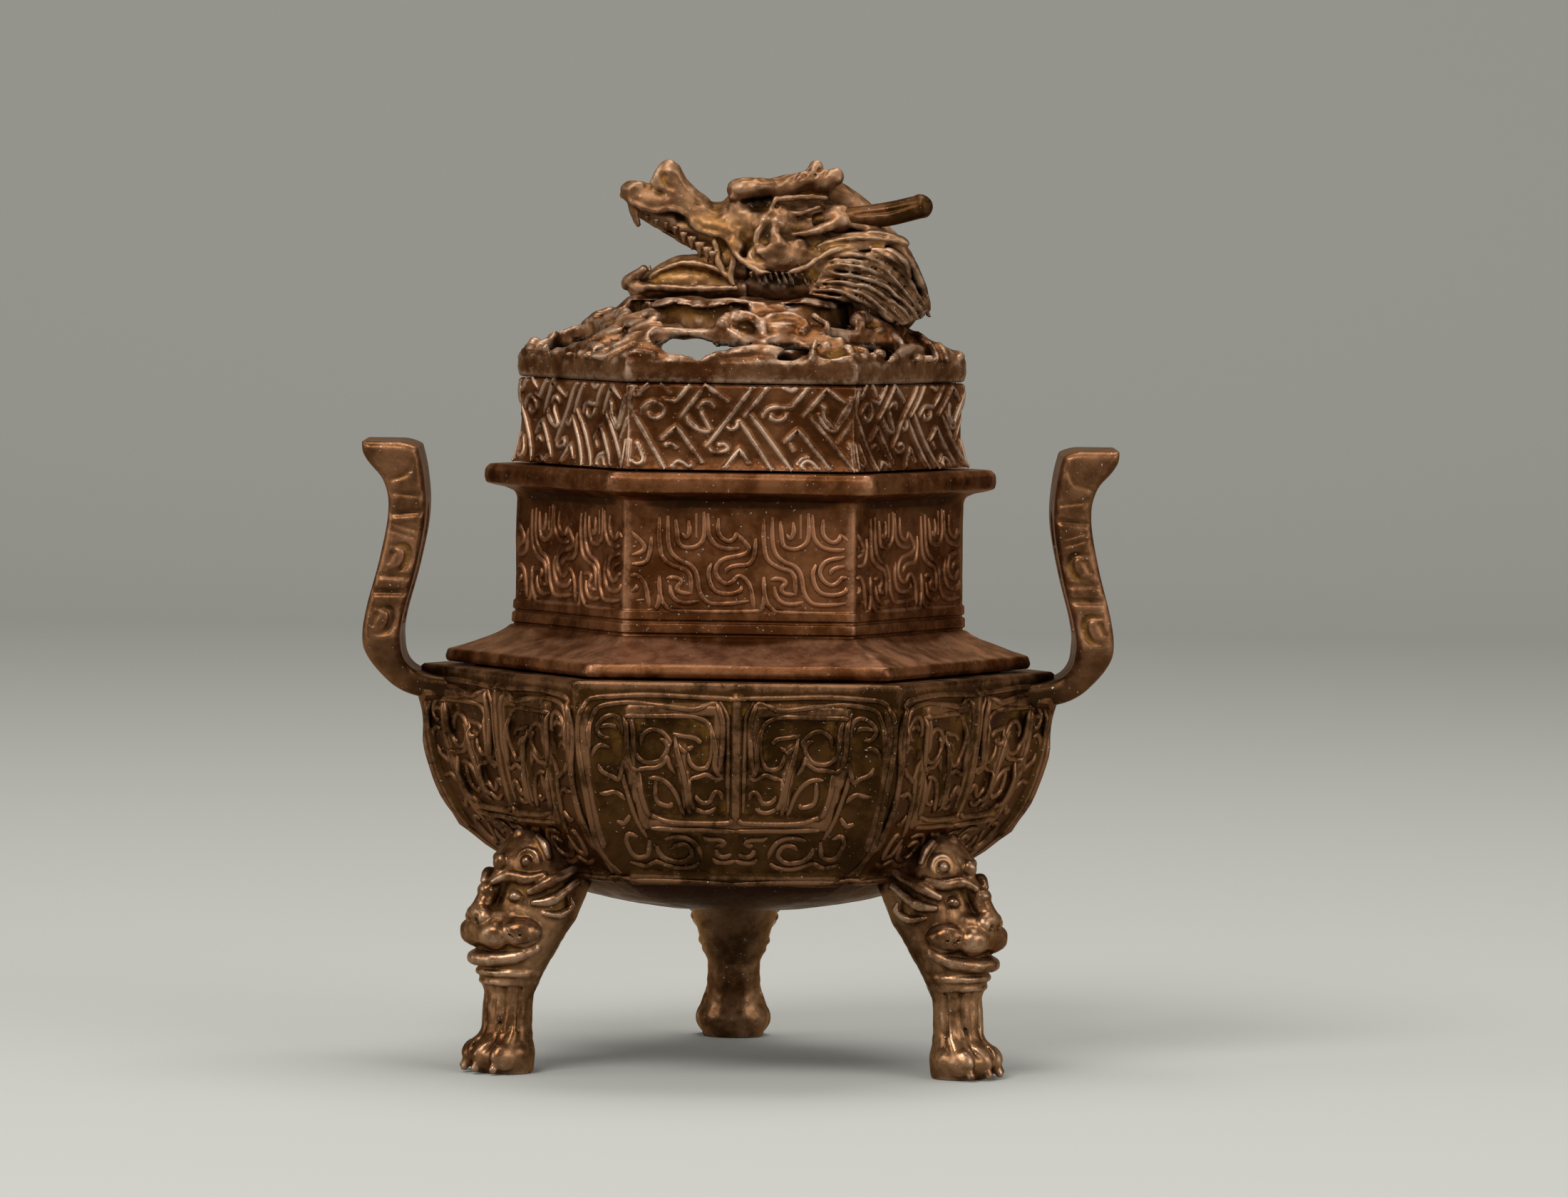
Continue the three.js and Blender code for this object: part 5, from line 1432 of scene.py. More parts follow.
def handle_clay(step):
    """A flat bar bent along the handle's line, with an opening and with grooves on its side faces."""
    low, high = node_box("handle_right")
    half_width = (high[1] - low[1]) / 2
    top = high[2]
    clay = Clay((30, 0, 42.5), (50.5, half_width + 0.8, top + 1), step)
    line = smooth(HANDLE_LINE, 6)
    x, y, z = (a.astype(np.float32) for a in clay.axes)
    px, pz = np.meshgrid(x, z, indexing="ij")
    side, along = along_line(line, px, pz)
    flare = 2.2 * smoothstep(along, 0.8, 1.02) ** 1.4
    half = 1.45 + 0.9 * smoothstep(pz, RIM_LEVEL - 2, RIM_LEVEL + 3)
    bar = np.maximum(side - half - flare, -side - half)
    bar = np.maximum(bar, pz - (top - 0.25 - 0.1 * np.maximum(0, 43 - px) ** 2))
    narrow = 3.4 * smoothstep(-pz, -RIM_LEVEL - 4, 1.5 - RIM_LEVEL)
    wide = y[None, :, None] - half_width + 0.2 + narrow[:, None, :]
    edge = 1.1
    q = np.stack(np.broadcast_arrays((bar + edge)[:, None, :], wide + edge), 0)
    outside = np.linalg.norm(np.maximum(q, 0), axis=0)
    clay.field = (outside + np.minimum(q.max(0), 0) - edge).astype(np.float32)
    # opening of the loop
    sill, crown, opening = RIM_LEVEL + 5, RIM_LEVEL + 20.5, half_width - 5
    spring = crown - opening
    yy, zz = y[None, :, None], z[None, None, :]
    arch = np.where(zz > spring, np.hypot(yy, zz - spring) - opening, np.maximum(yy - opening, sill - zz))
    clay.field = np.maximum(clay.field, -arch).astype(np.float32)
    handle_grooves(clay, line[20:], half_width - 0.1)
    clay.keep(lambda x, y, z: -0.45 - outside_bowl(x, y, z, 0))
    return clay.mirrored()


def painted_shade_at_root(x, y, z):
    """A darker handle overall, with painted shade where it meets the bowl."""
    return -0.2 - 0.6 * smoothstep(-np.abs(x), -43.5, -39) * smoothstep(-z, -RIM_LEVEL - 2, -RIM_LEVEL)


class BURNER_OT_handles(bpy.types.Operator):
    """Two loop handles that rise in an S from the rim"""

    bl_idname = "burner.handles"
    bl_label = "Handles"

    def execute(self, context):
        clay = handle_clay(HANDLE_GRAIN)
        for name, turn in (("handle_right", 0), ("handle_left", 180)):
            made = clay.skin(name.replace("handle", "loop_handle"), placed(turn))
            finish_piece(made, "bowl_body", "bowl_bronze", bronze("handle"), name, tone=painted_shade_at_root)
        return {"FINISHED"}


# Lid

LID_RADIUS = LID[1][0]

# The face that looks to the rear, counted round from +X
REAR_FACE = 1

# Corner radii and heights of the dome, from the plate down to the rim
DOME_LINE = [
    (14.3, 96.5), (14.9, 95.9), (15.6, 95.3), (17.6, 94.2), (21.2, 92.8), (25.1, 91.2), (27.4, 90),
    (28.2, 89.4),
]
DOME = np.array(DOME_LINE) + (0, PLATE_LEVEL - DOME_LINE[0][1])

# Corner radii of the lip and of the hollow, and heights above the lid's seat
LID_INSIDE = [
    *((25.2, -0.2), (25.2, -3), (23.4, -3), (23.4, 0.9), (26.2, 1.8), (26.2, 2.8), (24.4, 3.2)),
    *((20.5, 4.5), (17, 5.8), (14.6, 6.8), (12.4, 8.3), (9.9, 8.5), (0, 8.5)),
]
LID_OUTLINE = [
    (0, PLATE_LEVEL),
    *map(tuple, DOME),
    (LID_RADIUS, LID_LEVEL + 2.4),
    (LID_RADIUS, LID_LEVEL + 0.8),
    (LID_RADIUS - 0.3, LID_LEVEL - 0.2),
    *((radius, LID_LEVEL + height) for radius, height in LID_INSIDE),
]


def dome_roundness(height):
    """How far the six sides turn into a circle towards the plate."""
    return smoothstep(height, LID_LEVEL + 3.6, LID_LEVEL + 8.6)


def on_dome(turn, radius, lift=0.0):
    """A point on the outside of the dome at an azimuth in degrees and a distance from the axis."""
    a = math.radians(turn)
    height = LID_LEVEL + 6
    for _ in range(6):
        corner = radius / six_sided(a, dome_roundness(np.array(height)))
        height = float(np.interp(corner, DOME[:, 0], DOME[:, 1]))
    return (radius * math.cos(a), radius * math.sin(a), height + lift)


def polygon_distance(outline, u, v):
    """Signed distance from a closed outline, below 0 inside."""
    p = np.array(outline, np.float32)
    nearest = np.full(u.shape, 99.0, np.float32)
    inside = np.zeros(u.shape, bool)
    for a, b in zip(p, np.roll(p, -1, 0)):
        way = b - a
        t = np.clip(((u - a[0]) * way[0] + (v - a[1]) * way[1]) / (way @ way), 0, 1)
        nearest = np.minimum(nearest, (u - a[0] - t * way[0]) ** 2 + (v - a[1] - t * way[1]) ** 2)
        if a[1] != b[1]:
            crosses = ((a[1] > v) != (b[1] > v)) & (u < (v - a[1]) * way[0] / way[1] + a[0])
            inside ^= crosses
    return np.where(inside, -1, 1) * np.sqrt(nearest)


def slot_below_plate(turn, half_turn):
    """A curved opening in the steep part of the dome."""
    middle, half = PLATE_LEVEL - 1.95, 1.25

    def distance(x, y, z):
        radius = np.hypot(x, y)
        off = np.abs(np.mod(np.arctan2(y, x) - math.radians(turn) + math.pi, 2 * math.pi) - math.pi)
        ends = (off - math.radians(half_turn)) * radius
        wave = 0.35 * np.sin(9 * off + turn)
        height = np.abs(z - middle - wave) - half
        return np.maximum(np.maximum(height, ends), np.abs(radius - 15.9) - 4.4)

    return np.array((-21, -21, middle - 2)), np.array((21, 21, middle + 2)), distance


def lining_below_plate():
    """A wall inside the lid, behind the slots."""
    low, high = PLATE_LEVEL - 4.4, PLATE_LEVEL - 0.6

    def distance(x, y, z):
        wall = np.abs(np.hypot(x, y) - 13.1) - 0.5
        return np.maximum(wall, np.abs(z - (low + high) / 2) - (high - low) / 2)

    return np.array((-13.6, -13.6, low)), np.array((13.6, 13.6, high)), distance


# Strokes on the lid, in degrees from a face's middle and millimetres from the axis; eggs also have a size
LID_FANS = [
    [(-67.8, 22), (-66.3, 20.8), (-61.6, 19.9), (-54, 19.4)],
    [(-60.1, 22.9), (-57.6, 22.1), (-54.2, 21.1), (-48.7, 20.4)],
    [(-55.4, 24.6), (-52.4, 23.7), (-49.3, 22.6), (-45, 21.8)],
    [(-46.5, 25.6), (-43.2, 24.8), (-39.6, 23.9), (-36, 23)],
    [(-44, 26.4), (-40, 26), (-36.4, 25.4), (-33, 24.8)],
    [(-41.5, 23.6), (-39, 22.9), (-36, 22.4), (-33, 22)],
    [(-43, 20.9), (-39, 20.2), (-35.5, 19.7), (-32.5, 19.3)],
    [(-32.9, 27.3), (-31.4, 27.5), (-28.7, 27.2), (-24.7, 26.4)],
    [(-68.8, 22.9), (-76, 22), (-82, 20.9), (-86, 18.9), (-88, 16.8)],
]
LID_EGGS = [
    (-84.2, 25.3, 0.8), (-77.4, 24.8, 0.9), (-90, 26.1, 0.7), (-72, 24.9, 0.55), (25.4, 24, 0.6),
    (31, 23.4, 0.5), (35.4, 23.2, 0.6), (35.7, 24.7, 0.55), (29.1, 26.1, 0.5), (33.7, 26.7, 0.6),
    (39.5, 25.4, 0.5), (49.8, 24.6, 0.6), (61, 25.1, 0.55), (64.5, 24.3, 0.6), (69.3, 24.9, 0.7),
]
LID_RIDGES = [
    [(29, 25.7), (31.2, 27.1), (36.7, 26)],
    [(23.3, 22.9), (20.4, 24.8), (19.1, 25.8)],
    [(24.3, 26.6), (27.3, 27.3), (28.9, 27.6)],
    [(60, 22.5), (66, 20.5), (71, 18)],
]
LID_COIL = [(7.2, 20.4), (8.2, 18.6), (13, 17.2), (18.5, 17), (23, 17.9), (23.8, 19.4), (20.8, 20.4)]
LID_LEAF = [(-10.3, 24.6), (-6.2, 24), (-1.9, 23.5), (4, 23.2), (9.5, 23.4), (11.8, 23.4)]
LID_CLOUD = [(-9.5, 19.6), (-7, 17.9), (-2, 17.3), (3.6, 17.5), (6.5, 18.9)]


def facing(face):
    """Direction of a face's middle in degrees, and -1 for the rear face, which is mirrored."""
    return 60 * face + 30, -1 if face == REAR_FACE else 1


def lid_strokes(clay, face):
    """Coil and clouds of one face.
    Every other face also has fans, ridges and eggs that run on over its edges."""
    middle, side = facing(face)

    def lying(points, lift):
        return [on_dome(middle + side * turn, radius, lift) for turn, radius in points]

    clay.press(ball(on_dome(middle + side * 16, 18.8, -0.2), (1.4, 2.4, 0.9), middle + side * 16), 0.6)
    clay.press(strand(lying(LID_COIL, 0.1), [0.5, 0.75, 0.8, 0.75, 0.5]), 0.4)
    clay.press(strand(lying(LID_CLOUD, 0.1), [0.6, 1.1, 0.7]), 0.5)
    for k in range(4):
        groove = [(-5.5 + 3 * k, 17.2), (-5 + 3 * k, 18.6), (-6 + 3 * k, 19.6)]
        clay.carve(strand(lying(groove, 1.1), 0.2), 0.2)
    if face % 2:
        return
    for fan in LID_FANS:
        clay.press(strand(lying(fan, 0.05), [0.35, 0.6, 0.62, 0.4]), 0.25)
    for ridge in LID_RIDGES:
        clay.press(strand(lying(ridge, 0.05), [0.35, 0.5, 0.35]), 0.3)
    for turn, radius, half in LID_EGGS:
        grain = (1.3 * half, half, 0.8 * half)
        clay.press(ball(on_dome(middle + turn, radius, 0.1), grain, middle + turn + 30), 0.2)
    clay.carve(ball(on_dome(middle + 25, 26.2, 0.6), (1.3, 1.8, 1.0), middle + 25), 0.4)


def lid_holes(clay, face):
    """Holes of one face, with a leaf between them.
    Those of the rear face are mirrored, and its wide one opens the rim and lets light in."""
    middle, side = facing(face)
    wide = (-16, 5.6, 3.6, 22.7) if face == REAR_FACE else (-16, 5.6, 3.1, 21.6)
    for off, along, across, reach in (wide, (-7.5, 4, 2.0, 21.2), (14.5, 2.5, 1.9, 22.7)):
        turn = math.radians(middle + side * off)
        spot = np.array((reach * math.cos(turn), reach * math.sin(turn), LID_LEVEL + 6))
        shape = ball(spot, (across, along, 40), math.degrees(turn))
        clay.carve((spot - (6, 6, 4.6), spot + (6, 6, 6), shape[2]), 0.5)
    if face != REAR_FACE:
        leaf = [on_dome(middle + turn, radius) for turn, radius in LID_LEAF]
        clay.press(strand(leaf, [0.35, 0.6, 0.8, 0.9, 0.85, 0.5]), 0.5)


def lid_clay(step):
    """A low dome with strokes laid on it, slots below its plate and holes through it."""
    clay = Clay((-29.6, -26.2, LID_LEVEL - 3.8), (29.6, 26.2, PLATE_LEVEL + 1.6), step)
    x, y, z = np.meshgrid(*clay.axes, indexing="ij", sparse=True)
    corner = np.hypot(x, y) / six_sided(np.arctan2(y, x), dome_roundness(z))
    height = np.broadcast_to(z, corner.shape)
    clay.field = polygon_distance(LID_OUTLINE, corner.astype(np.float32), height).astype(np.float32)
    swell = np.sin(0.52 * x + 0.31 * y + 0.6) * np.sin(0.58 * y - 0.24 * x)
    clay.field += (0.4 * swell * smoothstep(z, LID_LEVEL + 2.6, LID_LEVEL + 4)).astype(np.float32)
    for turn, half_turn in ((235, 38), (319, 27), (31, 27), (95, 22), (160, 24)):
        clay.carve(slot_below_plate(turn, half_turn), 0.5)
    clay.press(lining_below_plate(), 0.3)
    for face in range(SIDES):
        lid_strokes(clay, face)
    for face in range(SIDES):
        lid_holes(clay, face)
    plain = clay.field.copy()
    clay.roughen(0.16, 1.1)
    above_rim = smoothstep(z, LID_LEVEL + 0.5, LID_LEVEL + 2).astype(np.float32)
    clay.field = plain + (clay.field - plain) * above_rim
    clay.carve(ball((5, 0, PLATE_LEVEL - 1), (1.9, 1.9, 4)), 0.1)
    return clay


def lid_tone(x, y, z):
    """Earth in the slots, painted shade inside the dome and a darker rim."""
    reach = np.hypot(x, y)
    slots = (reach < 14.2) * (z < PLATE_LEVEL - 0.7) * (z > PLATE_LEVEL - 3.6)
    inside = (reach < 21.4) * (z < LID_LEVEL + 4.9)
    return 0.3 * slots - 0.9 * inside - 0.3 * (z < LID_LEVEL + 4)


class BURNER_OT_lid(bpy.types.Operator):
    """Pierced lid of clouds and coils on a plain rim"""

    bl_idname = "burner.lid"
    bl_label = "Lid"

    def execute(self, context):
        made = lid_clay(sizes().lid_grain / MM).skin("pierced_lid", placed())
        finish_piece(made, "lid_body", "lid_bronze", bronze("lid"), "lid_cap", tone=lid_tone)
        return {"FINISHED"}


# Dragon's head, looking along -X; only y above 0 is modelled

# Edge of the upper lip, from the tip of the snout back over the cheek
LIP = [
    (-15.2, 0.7, 109.4), (-14.4, 2.4, 108.9), (-13.6, 2.9, 108.2), (-11.4, 3.3, 107.5), (-8.9, 3.6, 107.8),
    (-6.9, 3.9, 106.8), (-6.0, 4.1, 105.5), (-4.1, 4.6, 104.7), (-2.7, 5.0, 104.5), (-1.6, 5.5, 103.6),
    (-0.9, 6.1, 102.2), (0.9, 7.2, 100.8), (3.2, 8.2, 99.8), (5.5, 8.5, 99.9), (8, 8.3, 100.9),
    (9.7, 8.0, 102), (11.7, 7.7, 103), (15, 7.2, 103.4), (17.3, 7, 103.2),
]

# Where head and jaw stand on the plate
FOOT_LEVEL = PLATE_LEVEL - 0.1


def head_skull(clay):
    """Skull, neck and snout."""
    press = clay.press
    press(ball((6.0, 0, 104.3), (8.4, 6.3, 5.8)), 1)
    press(ball((10.5, 0, 101.2), (9.5, 7.4, 5.4)), 1)
    press(ball((8.5, 0, 98.4), (9.6, 7.2, 3.0)), 1)
    press(ball((14.6, 0, 100.2), (7.2, 7.0, 4.8)), 1)
    press(ball((17.0, 0, 95.6), (5.4, 7.4, 3.6)), 1)
    snout = [
        (4, 0, 105.9), (0, 0, 106.6), (-4, 0, 107.0), (-8, 0, 108.7), (-12, 0, 109.6), (-14.2, 0, 109.9),
    ]
    press(strand(snout, [3.6, 2.5, 1.7, 1.5, 1.4, 1.1], ((0, 1, 0), 2.1)), 0.6)
    press(ball((-13.9, 1.6, 110.3), (1.7, 1.5, 1.0)), 0.4)
    press(ball((0.4, 3.9, 105.2), (3.6, 1.5, 2.9)), 1.2)
    press(strand([(x, y - 0.8, z + 1.0) for x, y, z in LIP[1:11]], 1.0), 0.6)


def head_mouth(clay):
    """Gums, lip, nostrils and fangs, with folds at the corner of the mouth."""
    press, carve = clay.press, clay.carve
    gum = [(-12.7, 0, 107.5), (-9.4, 0, 106.2), (-6.6, 0, 105.0), (-3, 0, 103.6)]
    press(strand(gum, [1.1, 1.65, 1.95, 2.2], ((0, 1, 0), 1.55)), 0.3)
    press(ball((-1.9, 0, 101.4), (4.1, 4.6, 2.7)), 0.5)
    for y in (1.2, 2.6):
        carve(strand([(-12, y, 106.3), (-9, 1.1 * y, 104.9), (-6, 1.2 * y, 103.4)], 0.3), 0.3)
    press(strand(LIP, [0.4, 0.45, 0.36, 0.42, 0.4, 0.45, 0.36, 0.45, 0.4]), 0.35)
    nose = [(-5.6, 1.9, 107.8), (-8.0, 2.2, 110.2), (-9.4, 2.4, 112.5), (-9.6, 2.4, 113.2)]
    press(strand(nose, [1.7, 1.5, 1.3, 0.85]), 0.5)
    press(strand([(-10.5, 2.7, 112.9), (-11.0, 2.8, 111.7), (-10.4, 2.9, 110.6)], [0.5, 0.55, 0.5]), 0.3)
    snout_fold = [(-11.6, 2.7, 111.0), (-9.2, 3.1, 109.8), (-6.4, 3.2, 108.2), (-3.6, 3.7, 106.9)]
    press(strand(snout_fold, [0.4, 0.5, 0.45, 0.4]), 0.4)
    carve(ball((-10.1, 3.9, 111.9), (0.5, 0.9, 0.7)), 0.25)
    carve(strand([(-9.0, 3.8, 112.2), (-7.6, 3.8, 110.2), (-5.6, 3.7, 108.4)], [0.18, 0.24, 0.2]), 0.25)
    press(strand([(-13.9, 2.1, 108.5), (-13.8, 2.4, 107.0), (-13.4, 2.4, 105.7)], [0.8, 0.6, 0.3]), 0.2)
    press(strand([(-6.4, 3.6, 106.0), (-4.4, 4.2, 105.6), (-2.4, 4.8, 105.7)], [0.3, 0.4, 0.35]), 0.2)
    front_fold = [(-3.6, 4.1, 104.0), (-3.3, 4.5, 102.4), (-3.0, 4.7, 100.9), (-2.0, 5.0, 99.5)]
    press(strand(front_fold, [0.4, 0.45, 0.42, 0.4]), 0.2)
    rear_fold = [(-1.5, 5.2, 103.2), (-1.2, 5.4, 101.4), (-1.6, 5.3, 99.6), (-1.2, 5.6, 98.4)]
    press(strand(rear_fold, [0.4, 0.42, 0.4, 0.35]), 0.2)
    carve(strand([(-2.4, 5.2, 103.4), (-2.3, 5.4, 101.6), (-2.2, 5.3, 100.2)], 0.3), 0.25)


def head_brows(clay):
    """Brows, crest and eyes."""
    press, carve = clay.press, clay.carve
    press(ball((1.2, 3.5, 110.6), (3.1, 2.4, 1.25), 0, 3), 0.3)
    press(ball((-0.5, 3.6, 110.4), (1.7, 2.3, 1.35)), 0.4)
    press(ball((-1.4, 4.6, 109.4), (0.7, 0.9, 0.7)), 0.3)
    press(strand([(4.4, 3.4, 110.4), (6.6, 3.5, 111.2), (8.6, 3.2, 112.0)], [1.2, 1.3, 1.2]), 0.4)
    press(strand([(8.2, 3.0, 111.8), (9.0, 2.9, 113.3)], [1.1, 0.85]), 0.25)
    press(strand([(9.6, 3.1, 111.4), (11.4, 2.9, 112.1)], [1.4, 1.15]), 0.25)
    crown = [(-1, 0, 108.4), (5, 0, 110.2), (11, 0, 109.8), (16, 0, 106.4)]
    press(strand(crown, [1.5, 2.0, 2.0, 1.8]), 0.6)
    for k in range(4):
        crest_groove = [(4.8 + 1.3 * k, 5.0, 110.6), (6.0 + 1.2 * k, 4.6, 111.8), (7.4 + k, 3.4, 112.9)]
        carve(strand(crest_groove, 0.2), 0.2)
    carve(ball((1.9, 5.5, 108.5), (1.8, 1.8, 1.0)), 0.25)
    press(strand([(3.9, 5.2, 109.2), (3.3, 5.9, 107.7), (1.8, 6.0, 106.5)], [0.3, 0.4, 0.3]), 0.25)
    press(ball((-1.1, 4.3, 108.1), (0.95, 0.9, 1.0)), 0.3)
    press(strand([(4.0, 5.0, 109.1), (6.8, 5.6, 109.4), (10.2, 4.9, 109.4)], [0.35, 0.45, 0.35]), 0.25)
    press(strand([(4.3, 5.2, 107.4), (7.0, 5.8, 107.4), (9.4, 5.6, 108.3)], [0.35, 0.4, 0.35]), 0.25)
    carve(strand([(4.9, 5.9, 108.3), (7.2, 6.3, 108.4), (9.2, 5.9, 108.8)], [0.3, 0.38, 0.25]), 0.2)


def head_cheek(clay):
    """Cheek with its ear, whiskers and fringe."""
    press, carve = clay.press, clay.carve
    press(ball((4.6, 6.3, 102.0), (4.3, 2.1, 2.3)), 0.6)
    press(strand([(4.2, 5.6, 102.6), (3.7, 5.6, 104.4), (3.3, 5.8, 106)], [2.1, 1.5, 0.8]), 0.8)
    ear_back = [(3.4, 6.4, 107.1), (3.75, 6.9, 106.0), (3.9, 7.3, 104.8), (4.6, 7.6, 103.5)]
    press(strand(ear_back, [0.2, 0.5, 0.6, 0.8]), 0.3)
    ear_front = [(3.4, 6.4, 107.1), (2.5, 6.6, 106.2), (1.9, 6.7, 105.2), (1.5, 6.7, 103.8)]
    press(strand(ear_front, [0.2, 0.45, 0.45, 0.4]), 0.3)
    carve(strand([(3.1, 7.2, 106.2), (2.8, 7.4, 105.1), (2.7, 7.6, 103.8)], [0.3, 0.5, 0.5]), 0.25)
    press(ball((6.8, 7.0, 103.1), (1.25, 1.2, 1.2)), 0.4)
    carve(ball((3.3, 8.9, 101.9), (2.6, 0.9, 0.8)), 0.5)
    cheek_groove = [(0.6, 6.9, 103.4), (1.8, 7.6, 101.7), (4.2, 8.7, 100.9), (7.2, 8.6, 101.5)]
    carve(strand(cheek_groove, [0.35, 0.35, 0.3, 0.2]), 0.3)
    press(strand([(5.9, 6.4, 104.7), (9, 6.8, 105.3), (12.4, 6.3, 106.7)], [0.3, 0.55, 0.8]), 0.25)
    carve(strand([(7.8, 7.6, 104.3), (10.2, 7.6, 104.8), (12.6, 7.2, 105.7)], [0.25, 0.38, 0.3]), 0.25)
    press(ball((11.8, 5.1, 106.8), (2.2, 1.9, 1.75)), 0.4)
    whisker = [(9.5, 6.9, 103.3), (13, 7.1, 104.2), (17, 6.8, 104.5), (20.2, 6.2, 104.0)]
    press(strand(whisker, [0.5, 0.9, 1.0, 0.6]), 0.3)
    whisker_groove = [(9.2, 7.4, 103.0), (11.5, 7.9, 103.7), (15.5, 7.9, 104.0), (18.5, 7.4, 103.9)]
    carve(strand(whisker_groove, [0.25, 0.32, 0.3, 0.2]), 0.25)
    carve(strand([(11.2, 7.5, 104.7), (15.0, 7.8, 105.0), (18.8, 7.2, 104.6)], [0.2, 0.28, 0.2]), 0.2)
    carve(ball((4.8, 8.4, 98.9), (4.2, 1.7, 1.0)), 0.3)
    for k in range(10):
        bristle = [(0.9 + 0.8 * k, 7.7, 99.9), (1.1 + 0.82 * k, 7.4, 99.2), (1.3 + 0.84 * k, 7.3, 98.5)]
        press(strand(bristle, [0.24, 0.2, 0.14]), 0.1)


def head_mane(clay):
    """Locks that run back, then fall on the lid."""
    press, carve = clay.press, clay.carve
    upper = [
        (11.2, 7.6, 102.5), (15, 7.7, 102.4), (18.4, 7.4, 101.4), (21, 6.6, 98.9), (22.7, 5.6, 96.4),
        (23.5, 4.6, 94.7),
    ]
    lower = [
        (8.4, 7.2, 97.4), (11.2, 7.9, 97.3), (14.0, 8.2, 96.7), (16.4, 8.1, 95.6), (18.3, 7.9, 94.5),
        (19.6, 7.7, 93.6),
    ]
    upper, lower = np.array(upper), np.array(lower)
    for k in range(16):
        lock = upper + (lower - upper) * k / 15
        lock[1:-1, 2] += 0.3 * np.sin(np.arange(4) * 1.7 + 2.4 * k)
        lock[1:-1, 1] += 0.25 * np.sin(np.arange(4) * 1.1 + 1.9 * k)
        press(strand(lock, [0.2, 0.34, 0.38, 0.36, 0.32, 0.15]), 0.1)
    for j in range(6):
        y = 0.05 + 1.15 * j
        lock = [
            (11.5, y, 108.2 - 0.25 * j),
            (15.8, 1.05 * y, 106.6 - 0.2 * j),
            (19.8, 1.05 * y, 103.4 - 0.1 * j),
            (22.2, 0.95 * y, 99),
            (23.4, 0.85 * y, 95.6),
        ]
        press(strand(lock, [0.5, 0.75, 0.75, 0.6, 0.3]), 0.1)
    tuft = [(16.2, 7.6, 103.1), (18.4, 8.0, 102.5), (20.2, 7.5, 101.2), (20.8, 7.1, 99.8)]
    press(strand(tuft, [0.3, 0.75, 0.7, 0.3]), 0.12)
    carve(strand([(17, 8.3, 103.0), (18.6, 8.7, 102.4), (20.2, 8.1, 100.8)], 0.2), 0.15)


def above_lid(x, y, z):
    """The space above the lid, below 0 inside."""
    reach = np.hypot(x, y)
    return FOOT_LEVEL - 3.1 * smoothstep(reach, 14, 17.5) - 1.3 * smoothstep(reach, 17.5, 22.5) - z


def head_clay(step):
    """The dragon's head without its lower jaw and horns."""
    clay = Clay((-17, 0, 91.6), (25, 10.4, 115.6), step)
    for model in (head_skull, head_mouth, head_brows, head_cheek, head_mane):
        model(clay)
    clay.roughen(0.14, 0.8)
    clay.keep(above_lid)
    return clay.mirrored()


def jaw_clay(step):
    """Lower jaw with the tongue."""
    clay = Clay((-16.6, 0, FOOT_LEVEL - 0.6), (1.6, 7.2, 103.4), step)
    press, carve = clay.press, clay.carve
    jawbone = [(-13.2, 0, 97.6), (-8, 0, 97.7), (-2, 0, 97.8), (0.6, 0, 97.8)]
    press(strand(jawbone, [1.3, 1.5, 1.8, 1.9], ((0, 1, 0), 2.3)), 0.5)
    press(ball((-6, 0, 98.9), (7.2, 3.7, 2.0)), 0.5)
    # chin and lower lip
    press(strand([(-14.5, 0.6, 98.3), (-14.0, 2.2, 98.9), (-12.6, 2.9, 100.1)], [0.9, 0.8, 0.55]), 0.3)
    lower_lip = [(-13.8, 2.4, 98.0), (-10, 3.7, 97.9), (-5, 4.8, 97.8), (-1, 5.4, 98.0)]
    press(strand(lower_lip, [0.6, 0.5, 0.5, 0.45]), 0.25)
    # tongue with its curled edge
    tongue = [
        (-12.0, 1.0, 99.0), (-10.4, 1.5, 99.9), (-8.8, 1.9, 100.7), (-6.4, 2.3, 101.0), (-3, 2.6, 100.6),
        (0, 2.6, 100.2),
    ]
    press(strand(tongue, [0.6, 0.8, 0.95, 1.1, 1.3, 1.4], ((0, 1, 0), 1.3)), 0.3)
    tongue_edge = [
        (-11.6, 2.5, 99.2), (-9.6, 3.1, 100.4), (-7.4, 3.5, 101.0), (-5, 4.0, 100.8), (-2.6, 4.6, 100.0),
    ]
    press(strand(tongue_edge, 0.36), 0.2)
    tongue_groove = [(-12.4, 3.1, 98.8), (-9, 4.0, 99.2), (-6, 4.5, 99.4), (-3, 5.0, 99.0)]
    carve(strand(tongue_groove, [0.35, 0.55, 0.55, 0.4]), 0.3)
    carve(strand([(-10.4, 3.0, 99.5), (-8.2, 3.6, 99.9), (-6.6, 4.0, 99.9)], 0.28), 0.25)
    carve(strand([(-11.4, 0, 100.2), (-7.8, 0, 101.4), (-4, 0, 101.4), (0.2, 0, 101)], 0.3), 0.3)
    clay.roughen(0.12, 0.8)
    clay.keep(lambda x, y, z: np.maximum(FOOT_LEVEL - z, x - JAW[1][0]))
    return clay.mirrored()


def horn_clay(step):
    """The rear one of two blunt horns."""
    clay = Clay((8.4, 2.4, 103.6), (25, 9.4, 112), step)
    path = [(9.4, 4.8, 106.4), (12.6, 5.3, 106.9), (17.6, 5.9, 107.4), (22.2, 6.4, 108.5)]
    clay.press(strand(path, [1.2, 1.32, 1.5, 1.45]), 0.3)
    clay.press(ball((22.4, 6.4, 108.6), (0.9, 1.5, 1.5), 8, 16), 0.2)
    clay.carve(strand([(14, 6.8, 107.4), (18, 7.3, 107.8), (21.5, 7.8, 108.8)], [0.15, 0.22, 0.15]), 0.2)
    return clay


